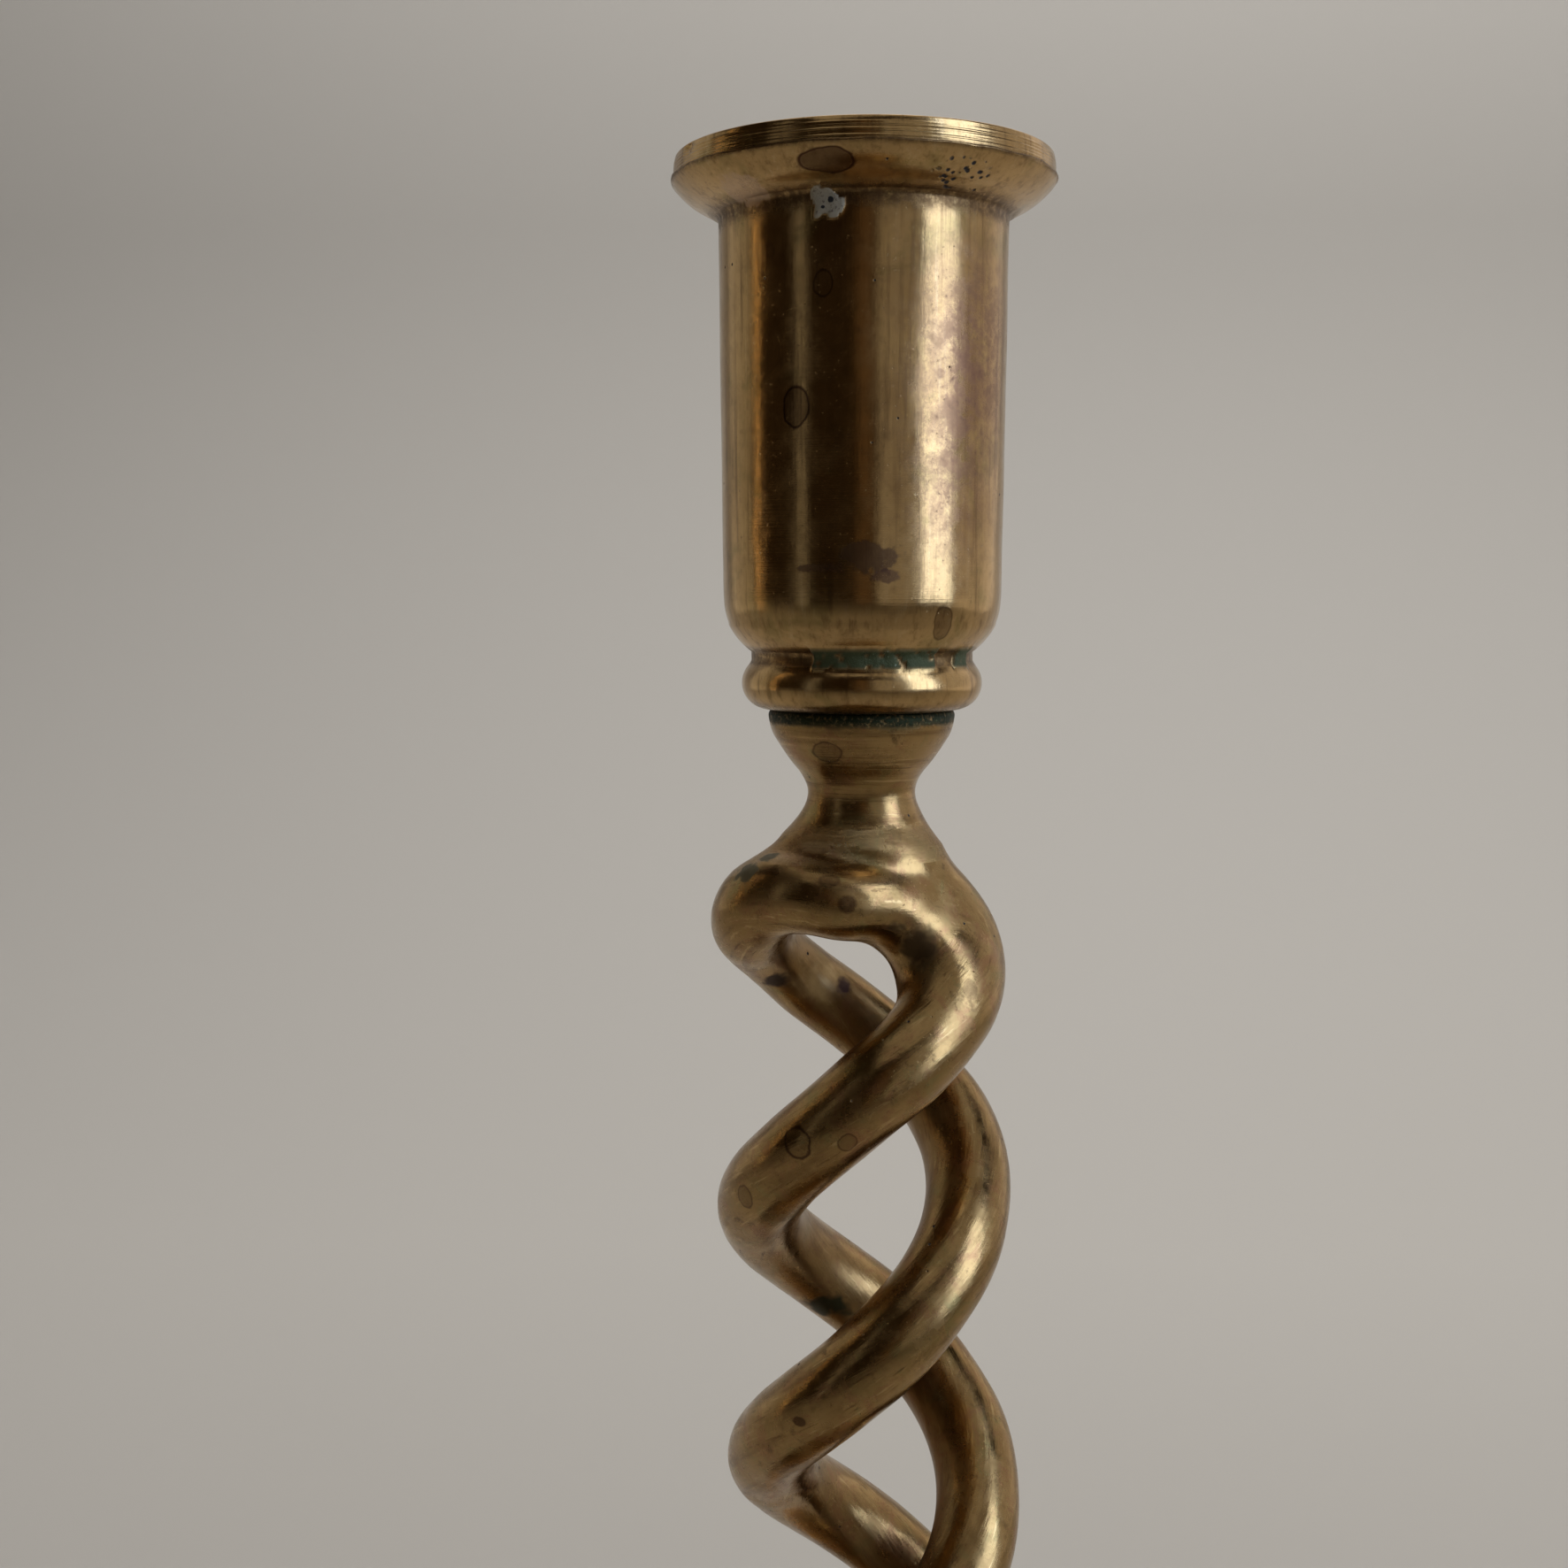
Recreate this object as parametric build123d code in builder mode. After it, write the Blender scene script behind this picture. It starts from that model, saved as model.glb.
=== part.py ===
"""Open-twist brass candle holder: cup, double-helix stem, knop, hollow round foot and its fixings."""

from build123d import *
from math import acos, atan2, ceil, cos, pi, radians, sin, sqrt, tan
import os

# Whole object
overall_height = 254.0
thread_gap = 0.03  # radial clearance of a screwed stud in its hole
edge_round = 0.35  # rounding that a file leaves on a turned edge

# Candle cup: the drops are measured down from the line where the flared rim meets the barrel
rim_height = 5.6
rim_radius = 18.25
rim_band_height = 2.1
rim_band_step = 0.12
rim_band_draw = 0.18
flare_knee_radius = 15.2
flare_knee_height = 1.06
flare_belly_radius = 17.2
flare_belly_height = 2.3
barrel_top_radius = 13.75
barrel_foot_radius = 13.43
barrel_length = 35.8
cup_bottom_round = 5.3
groove_radius = 10.7
bead_radius = 11.63
bead_round = 2.53
bead_drop = 43.65
bead_slope = 25.0
cup_foot_drop = 46.15
candle_bore_radius = 11.1
candle_bore_depth = 38.0
bore_mouth_round = 0.8
drill_point_height = 1.6

# Stud between cup and stem
cup_stud_radius = 3.175
cup_stud_in_cup = 8.5
cup_stud_in_stem = 6.6
stud_chamfer = 0.5
stud_end_gap = 0.6

# Twisted stem: both ends are alike, and the drops are measured from each end face
collar_radius = 9.0
collar_height = 1.15
collar_shoulder_round = 3.1
neck_radius = 5.07
neck_round = 3.8
neck_taper = 36.4
fork_slope = 45.0
fork_radius = 9.2
fork_drop = 21.6
fork_flat_radius = 5.2
strand_radius = 4.25
strand_circle_radius = 10.46
strand_start_radius = 2.2
twist_pitch = 56.9
twist_start_angle = -57.6
strand_lag_angle = 19.3
full_circle_drop = 28.0
bend_rise = 7.1
bend_turn = 57.6
bend_climb = 33.0
arch_radius = 8.0
arch_rise = 4.3
arch_turn = 48.4
arch_climb = 18.0
arch_inward = 30.0
neck_rise = 2.5
neck_turn = 90.0
neck_climb = 35.0
neck_inward = 20.0
stem_bow = 1.6
spans_per_turn = 4
end_seam_turn = 57.6  # from a strand to the line where a turned end starts and closes

# Foot knop
knop_height = 16.0
knop_seat_radius = 11.6
knop_radius = 12.8
knop_belly_height = 4.6
knop_groove_radius = 8.8
knop_groove_height = 10.6
knop_bead_slope = 60.0

# Round foot: steps and shares follow one another inward from the edge and up from the table
base_height = 28.0
base_radius = 55.0
base_edge_height = 3.2
base_edge_round = 1.2
base_step_inset = 5.5
base_step_rise = 1.0
base_ring_inset = 3.0
base_ring_rise = 2.2
base_dish_share = 0.592
base_dish_rise = 2.0
base_dome_share = 0.388
base_dome_rise = 5.6
base_crown_radius = 13.4
base_crown_ledge = 1.2
base_crown_rise = 3.6
base_wall = 3.2
base_boss_radius = 10.5
base_boss_drop = 1.0

# Fixings under the foot
base_stud_radius = 3.175
base_stud_in_stem = 6.6
base_stud_proud = 2.3
washer_radius = 8.0
washer_thickness = 1.3
washer_hole_gap = 0.25
nut_across_flats = 11.1
nut_height = 5.0
nut_sides = 6

# Heights above the surface that the holder stands on
rim_line = overall_height - rim_height
stem_top = rim_line - cup_foot_drop
stem_foot = base_height + knop_height
lag_height = twist_pitch * strand_lag_angle / 360

# Depth from an end face to the thinnest place of the neck: shoulder and waist arcs joined by a cone
neck_inset = neck_radius + neck_round - collar_radius + collar_shoulder_round
neck_cone = radians(neck_taper)
neck_run = (collar_shoulder_round + neck_round - neck_inset * cos(neck_cone)) / sin(neck_cone)
neck_drop = collar_height + neck_run

os.makedirs("parts", exist_ok=True)

# Candle cup, turned in one piece: rim, barrel, groove and bead, bored for the candle and for the stud
bead_centre_radius = bead_radius - bead_round
bead_centre = rim_line - bead_drop
bead_top = (
    bead_centre_radius + bead_round * cos(radians(bead_slope)),
    bead_centre + bead_round * sin(radians(bead_slope)),
)
groove_floor = bead_top[1] + (bead_top[0] - groove_radius) / tan(radians(bead_slope))
bead_foot_radius = bead_centre_radius + sqrt(bead_round**2 - (bead_centre - stem_top) ** 2)
bottom_turn = acos((groove_radius - barrel_foot_radius + cup_bottom_round) / cup_bottom_round)
barrel_foot = rim_line - barrel_length
groove_top = barrel_foot - cup_bottom_round * sin(bottom_turn)
bottom_middle = (
    barrel_foot_radius - cup_bottom_round + cup_bottom_round * cos(bottom_turn / 2),
    barrel_foot - cup_bottom_round * sin(bottom_turn / 2),
)
band_foot = overall_height - rim_band_height
band_foot_radius = rim_radius - rim_band_step
band_top_radius = band_foot_radius - rim_band_draw
bore_floor = overall_height - candle_bore_depth
cup_hole_radius = cup_stud_radius + thread_gap
cup_hole_top = stem_top + cup_stud_in_cup + stud_end_gap

with BuildPart() as candle_cup:
    with BuildSketch(Plane.XZ):
        with BuildLine():
            Polyline(
                (0, bore_floor - drill_point_height),
                (0, cup_hole_top),
                (cup_hole_radius, cup_hole_top),
                (cup_hole_radius, stem_top),
                (bead_foot_radius, stem_top),
            )
            ThreePointArc((bead_foot_radius, stem_top), (bead_radius, bead_centre), bead_top)
            Polyline(bead_top, (groove_radius, groove_floor), (groove_radius, groove_top))
            ThreePointArc((groove_radius, groove_top), bottom_middle, (barrel_foot_radius, barrel_foot))
            Polyline(
                (barrel_foot_radius, barrel_foot),
                (barrel_top_radius, rim_line),
                (flare_knee_radius, rim_line + flare_knee_height),
            )
            ThreePointArc(
                (flare_knee_radius, rim_line + flare_knee_height),
                (flare_belly_radius, rim_line + flare_belly_height),
                (rim_radius, band_foot),
            )
            Polyline(
                (rim_radius, band_foot),
                (band_foot_radius, band_foot),
                (band_top_radius, overall_height - edge_round),
                (band_top_radius - edge_round, overall_height),
                (candle_bore_radius + bore_mouth_round, overall_height),
                (candle_bore_radius, overall_height - bore_mouth_round),
                (candle_bore_radius, bore_floor),
                (0, bore_floor - drill_point_height),
            )
        make_face()
    revolve(axis=Axis.Z)
candle_cup.part.label = "candle_cup"
export_step(candle_cup.part, "parts/candle_cup.step")


def turned_stud(foot, top, radius):
    """A plain round stud on the holder's axis with both ends chamfered."""
    with BuildPart(Plane.XY.offset(foot)) as stud:
        Cylinder(radius, top - foot, align=(Align.CENTER, Align.CENTER, Align.MIN))
        chamfer(stud.edges().filter_by(GeomType.CIRCLE), length=stud_chamfer)
    return stud


# Stud that joins the cup to the stem, hidden in both
cup_stud = turned_stud(stem_top - cup_stud_in_stem, stem_top + cup_stud_in_cup, cup_stud_radius)
cup_stud.part.label = "cup_stud"
export_step(cup_stud.part, "parts/cup_stud.step")


# Twisted stem: two turned ends joined by two round strands that wind round each other
def end_outline(end_face, way, hole_radius, hole_depth):
    """Draws one turned end of the stem, from its end face (way -1 down, +1 up) to the fork."""
    collar_edge = end_face + way * collar_height
    shoulder_centre = (collar_radius - collar_shoulder_round, collar_edge)
    waist_centre = (neck_radius + neck_round, end_face + way * neck_drop)

    def on_shoulder(angle):
        return (
            shoulder_centre[0] + collar_shoulder_round * cos(angle),
            shoulder_centre[1] + way * collar_shoulder_round * sin(angle),
        )

    def on_waist(angle):
        return (
            waist_centre[0] - neck_round * cos(angle),
            waist_centre[1] + way * neck_round * sin(angle),
        )

    fork_angle = radians(fork_slope)
    fork_start = on_waist(fork_angle)
    fork_edge = (fork_radius, fork_start[1] + way * (fork_radius - fork_start[0]) / tan(fork_angle))
    fork_end = end_face + way * fork_drop
    Polyline(
        (0, fork_end),
        (0, end_face + way * hole_depth),
        (hole_radius, end_face + way * hole_depth),
        (hole_radius, end_face),
        (collar_radius - edge_round, end_face),
        (collar_radius, end_face + way * edge_round),
        (collar_radius, collar_edge),
    )
    ThreePointArc(on_shoulder(0), on_shoulder(neck_cone / 2), on_shoulder(neck_cone))
    Line(on_shoulder(neck_cone), on_waist(-neck_cone))
    ThreePointArc(on_waist(-neck_cone), on_waist(0), fork_start)
    Line(fork_start, fork_edge)
    TangentArc(fork_edge, (fork_flat_radius, fork_end), tangent=(sin(fork_angle), way * cos(fork_angle)))
    Line((fork_flat_radius, fork_end), (0, fork_end))


# Centre line of a strand: out of the neck, over a near-level arch, round the first bend and down the
# helix, then back to the lower neck by the same way
strand_height = stem_top - stem_foot - 2 * full_circle_drop - lag_height
helix_rate = 2 * pi / twist_pitch
helix_slope = atan2(twist_pitch / 2 / pi, strand_circle_radius)
strand_turn = helix_rate * strand_height
mid_height = (stem_top + stem_foot) / 2
twist_reach = (stem_top - stem_foot) / 2 - neck_drop


def bow_at(height):
    """Sideways lean of the hand-twisted stem: none at the necks, most half-way."""
    share = min(abs(height - mid_height) / twist_reach, 1)
    return stem_bow * (1 + cos(pi * share)) / 2


def twisted(radius, angle, height, inward, rise):
    """A place on a strand, and its heading there by its angle inward and its rise from level."""
    out = Vector(cos(angle), sin(angle))
    level = Vector(-sin(angle), cos(angle)) * cos(inward) - out * sin(inward)
    return out * radius + Vector(bow_at(height), 0, height), level * cos(rise) + Vector(0, 0, sin(rise))


def strand_places(foot, start_angle):
    """Places and headings up a strand whose full circle starts at this height and angle."""
    top, top_angle = foot + strand_height, start_angle + strand_turn
    bend, bend_slope = radians(bend_turn), radians(bend_climb)
    arch, arch_slope = bend + radians(arch_turn), radians(arch_climb)
    neck, neck_slope = arch + radians(neck_turn), radians(neck_climb)
    inward, neck_in = radians(arch_inward), radians(neck_inward)
    arch_height = bend_rise + arch_rise
    neck_height = arch_height + neck_rise
    spans = ceil(spans_per_turn * strand_height / twist_pitch)
    places = [
        twisted(strand_start_radius, start_angle - neck, foot - neck_height, -neck_in, neck_slope),
        twisted(arch_radius, start_angle - arch, foot - arch_height, -inward, arch_slope),
        twisted(strand_circle_radius, start_angle - bend, foot - bend_rise, 0, bend_slope),
    ]
    for i in range(spans + 1):
        run = strand_height * i / spans
        angle = start_angle + helix_rate * run
        places.append(twisted(strand_circle_radius, angle, foot + run, 0, helix_slope))
    places += [
        twisted(strand_circle_radius, top_angle + bend, top + bend_rise, 0, bend_slope),
        twisted(arch_radius, top_angle + arch, top + arch_height, inward, arch_slope),
        twisted(strand_start_radius, top_angle + neck, top + neck_height, neck_in, neck_slope),
    ]
    return places


def tangent_arcs(start, end):
    """Joins two places with headings by two arcs that run into each other smoothly."""
    (p, p_way), (q, q_way) = start, end
    chord, both = q - p, p_way + q_way
    spread = 2 * (1 - p_way.dot(q_way))
    along = chord.dot(both)
    reach = (sqrt(along**2 + spread * chord.dot(chord)) - along) / spread
    middle = (p + q + (p_way - q_way) * reach) / 2
    first = TangentArc(p, middle, tangent=p_way)
    TangentArc(middle, q, tangent=first % 1)


def round_strand(places):
    """A round strand swept along its places."""
    with BuildPart() as strand:
        with BuildLine() as path:
            for start, end in zip(places, places[1:]):
                tangent_arcs(start, end)
        with BuildSketch(Plane(origin=places[0][0], z_dir=places[0][1])):
            Circle(strand_radius)
        sweep(path=path.wires()[0])
    return strand.part


def strand_halves(places):
    """The lower and the upper half of a strand, each swept from its own neck to the middle."""
    middle = len(places) // 2
    downward = [(place, -way) for place, way in reversed(places[middle:])]
    return [round_strand(places[: middle + 1]), round_strand(downward)]


first_foot = stem_foot + full_circle_drop
first_angle = radians(twist_start_angle) - strand_turn
first_strand = strand_halves(strand_places(first_foot, first_angle))
second_strand = strand_halves(strand_places(first_foot + lag_height, first_angle + pi))


def upright_plane(angle):
    """Plane through the holder's axis that looks along the ground at this angle."""
    return Plane(origin=(0, 0, 0), x_dir=(cos(angle), sin(angle), 0), z_dir=(sin(angle), -cos(angle), 0))


with BuildPart() as twist_stem:
    with BuildSketch(upright_plane(radians(twist_start_angle + end_seam_turn))):
        with BuildLine():
            end_outline(stem_top, -1, cup_stud_radius + thread_gap, cup_stud_in_stem + stud_end_gap)
        make_face()
    revolve(axis=Axis.Z)
    with BuildSketch(upright_plane(first_angle + pi - radians(end_seam_turn))):
        with BuildLine():
            end_outline(stem_foot, 1, base_stud_radius + thread_gap, base_stud_in_stem + stud_end_gap)
        make_face()
    revolve(axis=Axis.Z)
    add(first_strand + second_strand)
twist_stem.part.label = "twist_stem"
export_step(twist_stem.part, "parts/twist_stem.step")

# Foot knop: a bead like the cup's under the stem, a groove, and a rounded body on the foot's crown
base_hole_radius = base_stud_radius + thread_gap
knop_bead_centre = stem_foot - (bead_centre - stem_top)
knop_bead_foot = (
    bead_centre_radius + bead_round * cos(radians(knop_bead_slope)),
    knop_bead_centre - bead_round * sin(radians(knop_bead_slope)),
)
with BuildPart() as foot_knop:
    with BuildSketch(Plane.XZ):
        with BuildLine():
            Line((base_hole_radius, base_height), (knop_seat_radius, base_height))
            ThreePointArc(
                (knop_seat_radius, base_height),
                (knop_radius, base_height + knop_belly_height),
                (knop_groove_radius, base_height + knop_groove_height),
            )
            Line((knop_groove_radius, base_height + knop_groove_height), knop_bead_foot)
            ThreePointArc(knop_bead_foot, (bead_radius, knop_bead_centre), (bead_foot_radius, stem_foot))
            Polyline(
                (bead_foot_radius, stem_foot),
                (base_hole_radius, stem_foot),
                (base_hole_radius, base_height),
            )
        make_face()
    revolve(axis=Axis.Z)
foot_knop.part.label = "foot_knop"
export_step(foot_knop.part, "parts/foot_knop.step")

# Round foot: edge, two steps, a dish, a dome and a cove up to the crown, hollow below round a boss
edge_shoulder = (base_radius - base_edge_round, base_edge_height + base_edge_round)
edge_middle = (
    base_radius - base_edge_round * (1 - sqrt(1 / 2)),
    base_edge_height + base_edge_round * sqrt(1 / 2),
)
step_radius = base_radius - base_step_inset
step_height = edge_shoulder[1] + base_step_rise
ring_radius = step_radius - base_ring_inset
ring_height = step_height + base_ring_rise
dish_radius = base_crown_radius + (ring_radius - base_crown_radius) * base_dish_share
dish_height = ring_height + base_dish_rise
dome_radius = base_crown_radius + (dish_radius - base_crown_radius) * base_dome_share
dome_height = dish_height + base_dome_rise
cove_radius = base_crown_radius + base_crown_ledge
cove_height = base_height - base_crown_rise
step_middle = (
    (step_radius + ring_radius) / 2 + base_ring_rise / 4,
    (step_height + ring_height) / 2 + base_ring_inset / 4,
)
dome_middle = (
    (dish_radius + dome_radius) / 2 + base_dome_rise / 4,
    (dish_height + dome_height) / 2 + (dish_radius - dome_radius) / 8,
)
cove_middle = (
    (dome_radius + cove_radius) / 2 - (cove_height - dome_height) / 8,
    (dome_height + cove_height) / 2 - (dome_radius - cove_radius) / 4,
)
hollow_roof = dome_height - base_wall
boss_height = hollow_roof - base_boss_drop
with BuildPart() as round_base:
    with BuildSketch(Plane.XZ):
        with BuildLine():
            Polyline((base_radius - base_wall, 0), (base_radius, 0), (base_radius, base_edge_height))
            ThreePointArc((base_radius, base_edge_height), edge_middle, edge_shoulder)
            Polyline(
                edge_shoulder,
                (step_radius, edge_shoulder[1]),
                (step_radius, step_height),
            )
            ThreePointArc(
                (step_radius, step_height), step_middle, (ring_radius, ring_height)
            )
            Line((ring_radius, ring_height), (dish_radius, dish_height))
            ThreePointArc(
                (dish_radius, dish_height), dome_middle, (dome_radius, dome_height)
            )
            ThreePointArc(
                (dome_radius, dome_height), cove_middle, (cove_radius, cove_height)
            )
            Polyline(
                (cove_radius, cove_height),
                (base_crown_radius, cove_height),
                (base_crown_radius, base_height),
                (base_hole_radius, base_height),
                (base_hole_radius, boss_height),
                (base_boss_radius, boss_height),
                (base_boss_radius, hollow_roof),
                (dome_radius - base_wall, hollow_roof),
                (dish_radius - base_wall, dish_height - base_wall),
                (ring_radius - base_wall, ring_height - base_wall),
                (base_radius - base_wall, base_edge_round),
                (base_radius - base_wall, 0),
            )
        make_face()
    revolve(axis=Axis.Z)
round_base.part.label = "round_base"
export_step(round_base.part, "parts/round_base.step")

# Stud that ties stem, knop and foot together from below, and stands a little proud of its nut
nut_top = boss_height - washer_thickness
base_stud_foot = nut_top - nut_height - base_stud_proud
base_stud = turned_stud(base_stud_foot, stem_foot + base_stud_in_stem, base_stud_radius)
base_stud.part.label = "base_stud"
export_step(base_stud.part, "parts/base_stud.step")

# Washer between the foot's boss and the nut
with BuildPart(Plane.XY.offset(boss_height)) as base_washer:
    Cylinder(washer_radius, washer_thickness, align=(Align.CENTER, Align.CENTER, Align.MAX))
    Hole(base_stud_radius + washer_hole_gap)
base_washer.part.label = "base_washer"
export_step(base_washer.part, "parts/base_washer.step")

# Hexagon nut in the hollow of the foot
with BuildPart() as base_nut:
    with BuildSketch(Plane.XY.offset(nut_top)):
        RegularPolygon(nut_across_flats / 2, nut_sides, major_radius=False)
        Circle(base_hole_radius, mode=Mode.SUBTRACT)
    extrude(amount=-nut_height)
base_nut.part.label = "base_nut"
export_step(base_nut.part, "parts/base_nut.step")
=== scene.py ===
"""Open-twist brass candle holder dressed over its solids, on a pale sheet in soft studio light."""

import math

import bpy
import numpy as np
from mathutils import Matrix, Vector


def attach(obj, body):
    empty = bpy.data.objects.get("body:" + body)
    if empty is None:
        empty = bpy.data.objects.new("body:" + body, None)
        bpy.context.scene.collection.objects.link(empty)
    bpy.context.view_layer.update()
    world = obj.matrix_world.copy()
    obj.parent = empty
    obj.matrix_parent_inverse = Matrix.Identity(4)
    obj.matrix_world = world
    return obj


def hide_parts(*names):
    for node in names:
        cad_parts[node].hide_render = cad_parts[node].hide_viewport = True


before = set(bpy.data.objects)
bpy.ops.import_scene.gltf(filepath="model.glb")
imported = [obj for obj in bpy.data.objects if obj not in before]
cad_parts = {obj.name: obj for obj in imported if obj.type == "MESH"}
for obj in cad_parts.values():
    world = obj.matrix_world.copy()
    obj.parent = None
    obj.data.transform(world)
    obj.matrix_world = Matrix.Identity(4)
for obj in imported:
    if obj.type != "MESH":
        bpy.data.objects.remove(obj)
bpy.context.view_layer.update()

# The round foot is a brass casting, turned and polished on top and left rough in its hollow, with a
# boss in the middle for the fixing stud. Its corners are worn round and its edge has small knocks.
foot_sides = 512
foot_edge, ring_inside, step_edge = 55.0, 51.8, 49.5
foot_crown = 28.0
neck_edge, neck_height = 14.6, 24.4
boss_edge, boss_height = 10.5, 11.0
stud_hole = 3.205
millimetre = 0.001
honey_brass = (0.52, 0.335, 0.14)
brown_film = (0.29, 0.165, 0.06)
dark_brown = (0.13, 0.068, 0.024)
green_film = (0.22, 0.17, 0.055)
dark_speck = (0.06, 0.036, 0.02)
worn_bright = (0.74, 0.53, 0.27)
green_crust = (0.062, 0.080, 0.036)
raw_casting = (0.17, 0.12, 0.06)
hollow_dirt = (0.05, 0.05, 0.035)


def turning(start, *moves, spacing=0.4):
    """Points (radius, height) along an outline: a move is a corner, or a mid-point and an end of an arc."""
    points = [np.array(start, float)]
    for move in moves:
        begin = points[-1]
        if isinstance(move[0], tuple):
            middle, end = (np.array(m, float) for m in move)
            sides = np.array([middle - begin, end - begin])
            centre = begin + np.linalg.solve(sides, (sides * sides).sum(1) / 2)
            radius = np.linalg.norm(begin - centre)
            first, mid, last = (math.atan2(*(p - centre)[::-1]) for p in (begin, middle, end))
            sweep = (last - first) % (2 * math.pi)
            if (mid - first) % (2 * math.pi) > sweep:
                sweep -= 2 * math.pi
            steps = max(4, math.ceil(max(abs(sweep) * radius / spacing, abs(sweep) / 0.12)))
            turns = first + sweep * np.arange(1, steps + 1) / steps
            points += list(centre + radius * np.stack([np.cos(turns), np.sin(turns)], -1))
        else:
            end = np.array(move, float)
            steps = max(1, math.ceil(np.linalg.norm(end - begin) / spacing))
            points += [begin + (end - begin) * i / steps for i in range(1, steps + 1)]
    return np.array(points)


def soften(outline, passes):
    """Rounds the corners of an outline a little; its ends stay."""
    outline = outline.copy()
    for _ in range(passes):
        outline[1:-1] = (outline[:-2] + 2 * outline[1:-1] + outline[2:]) / 4
    return outline


def turned_points(outline, sides):
    """Points (rings, sides, 3) in millimetres of an outline turned round the holder's axis."""
    turn = np.linspace(0, 2 * math.pi, sides, endpoint=False)
    out = np.stack([np.cos(turn), np.sin(turn)], -1)
    flat = outline[:, None, 0:1] * out[None]
    high = np.broadcast_to(outline[:, None, 1:2], flat.shape[:2] + (1,))
    return np.concatenate([flat, high], -1)


def turned_faces(rings, sides, closed):
    """Quads between rings; a closed outline joins its last ring to its first, an open one gets end caps."""
    ring, side = np.meshgrid(np.arange(rings if closed else rings - 1), np.arange(sides), indexing="ij")
    after, beside = (ring + 1) % rings, (side + 1) % sides
    corners = (ring * sides + side, ring * sides + beside, after * sides + beside, after * sides + side)
    faces = np.stack(corners, -1).reshape(-1, 4).tolist()
    if not closed:
        faces += [list(range(sides))[::-1], list(range((rings - 1) * sides, rings * sides))]
    return faces


def put_in_scene(name, data):
    """Stands a mesh, light or camera in the scene under this name."""
    thing = bpy.data.objects.new(name, data)
    bpy.context.scene.collection.objects.link(thing)
    return thing


def fit_piece(name, points, faces, node):
    """Makes a smooth mesh piece from points in millimetres that stands for a solid of the holder."""
    mesh = bpy.data.meshes.new(name)
    mesh.from_pydata((np.asarray(points).reshape(-1, 3) * millimetre).tolist(), [], faces)
    mesh.update()
    mesh.shade_smooth()
    piece = put_in_scene(name, mesh)
    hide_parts(node)
    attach(piece, "root")
    return piece


def paint(piece, name, amounts):
    """Keeps a patch's amount, 0 to 1, at each point of the piece for its finish."""
    patch = piece.data.attributes.new(name, "FLOAT", "POINT")
    patch.data.foreach_set("value", np.clip(amounts, 0, 1).astype(np.float32).ravel())


def waves(points, size, seed, count=9):
    """Smooth random height from about -1 to 1, with hills of about this size in millimetres."""
    draw = np.random.default_rng(seed)
    way = draw.normal(size=(count, 3))
    way *= (2 * math.pi / size * draw.uniform(0.6, 1.4, count) / np.linalg.norm(way, axis=1))[:, None]
    return np.sin(points @ way.T + draw.uniform(0, 2 * math.pi, count)).sum(-1) / math.sqrt(2 * count)


def knock(points, centre, width, depth):
    """Depth of a soft round knock about a place on the surface."""
    gap = np.linalg.norm(points - np.array(centre, float), axis=-1) / width
    return depth * np.exp(-gap * gap * 2)


def ease(value, low, high):
    """Goes smoothly from 0 at low to 1 at high."""
    share = np.clip((value - low) / (high - low), 0, 1)
    return share * share * (3 - 2 * share)


def push_out(points, amount):
    """Moves turned points out from the axis by an amount."""
    radius = np.linalg.norm(points[..., :2], axis=-1, keepdims=True)
    points[..., :2] += points[..., :2] / np.maximum(radius, 0.01) * np.asarray(amount)[..., None]


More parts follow.
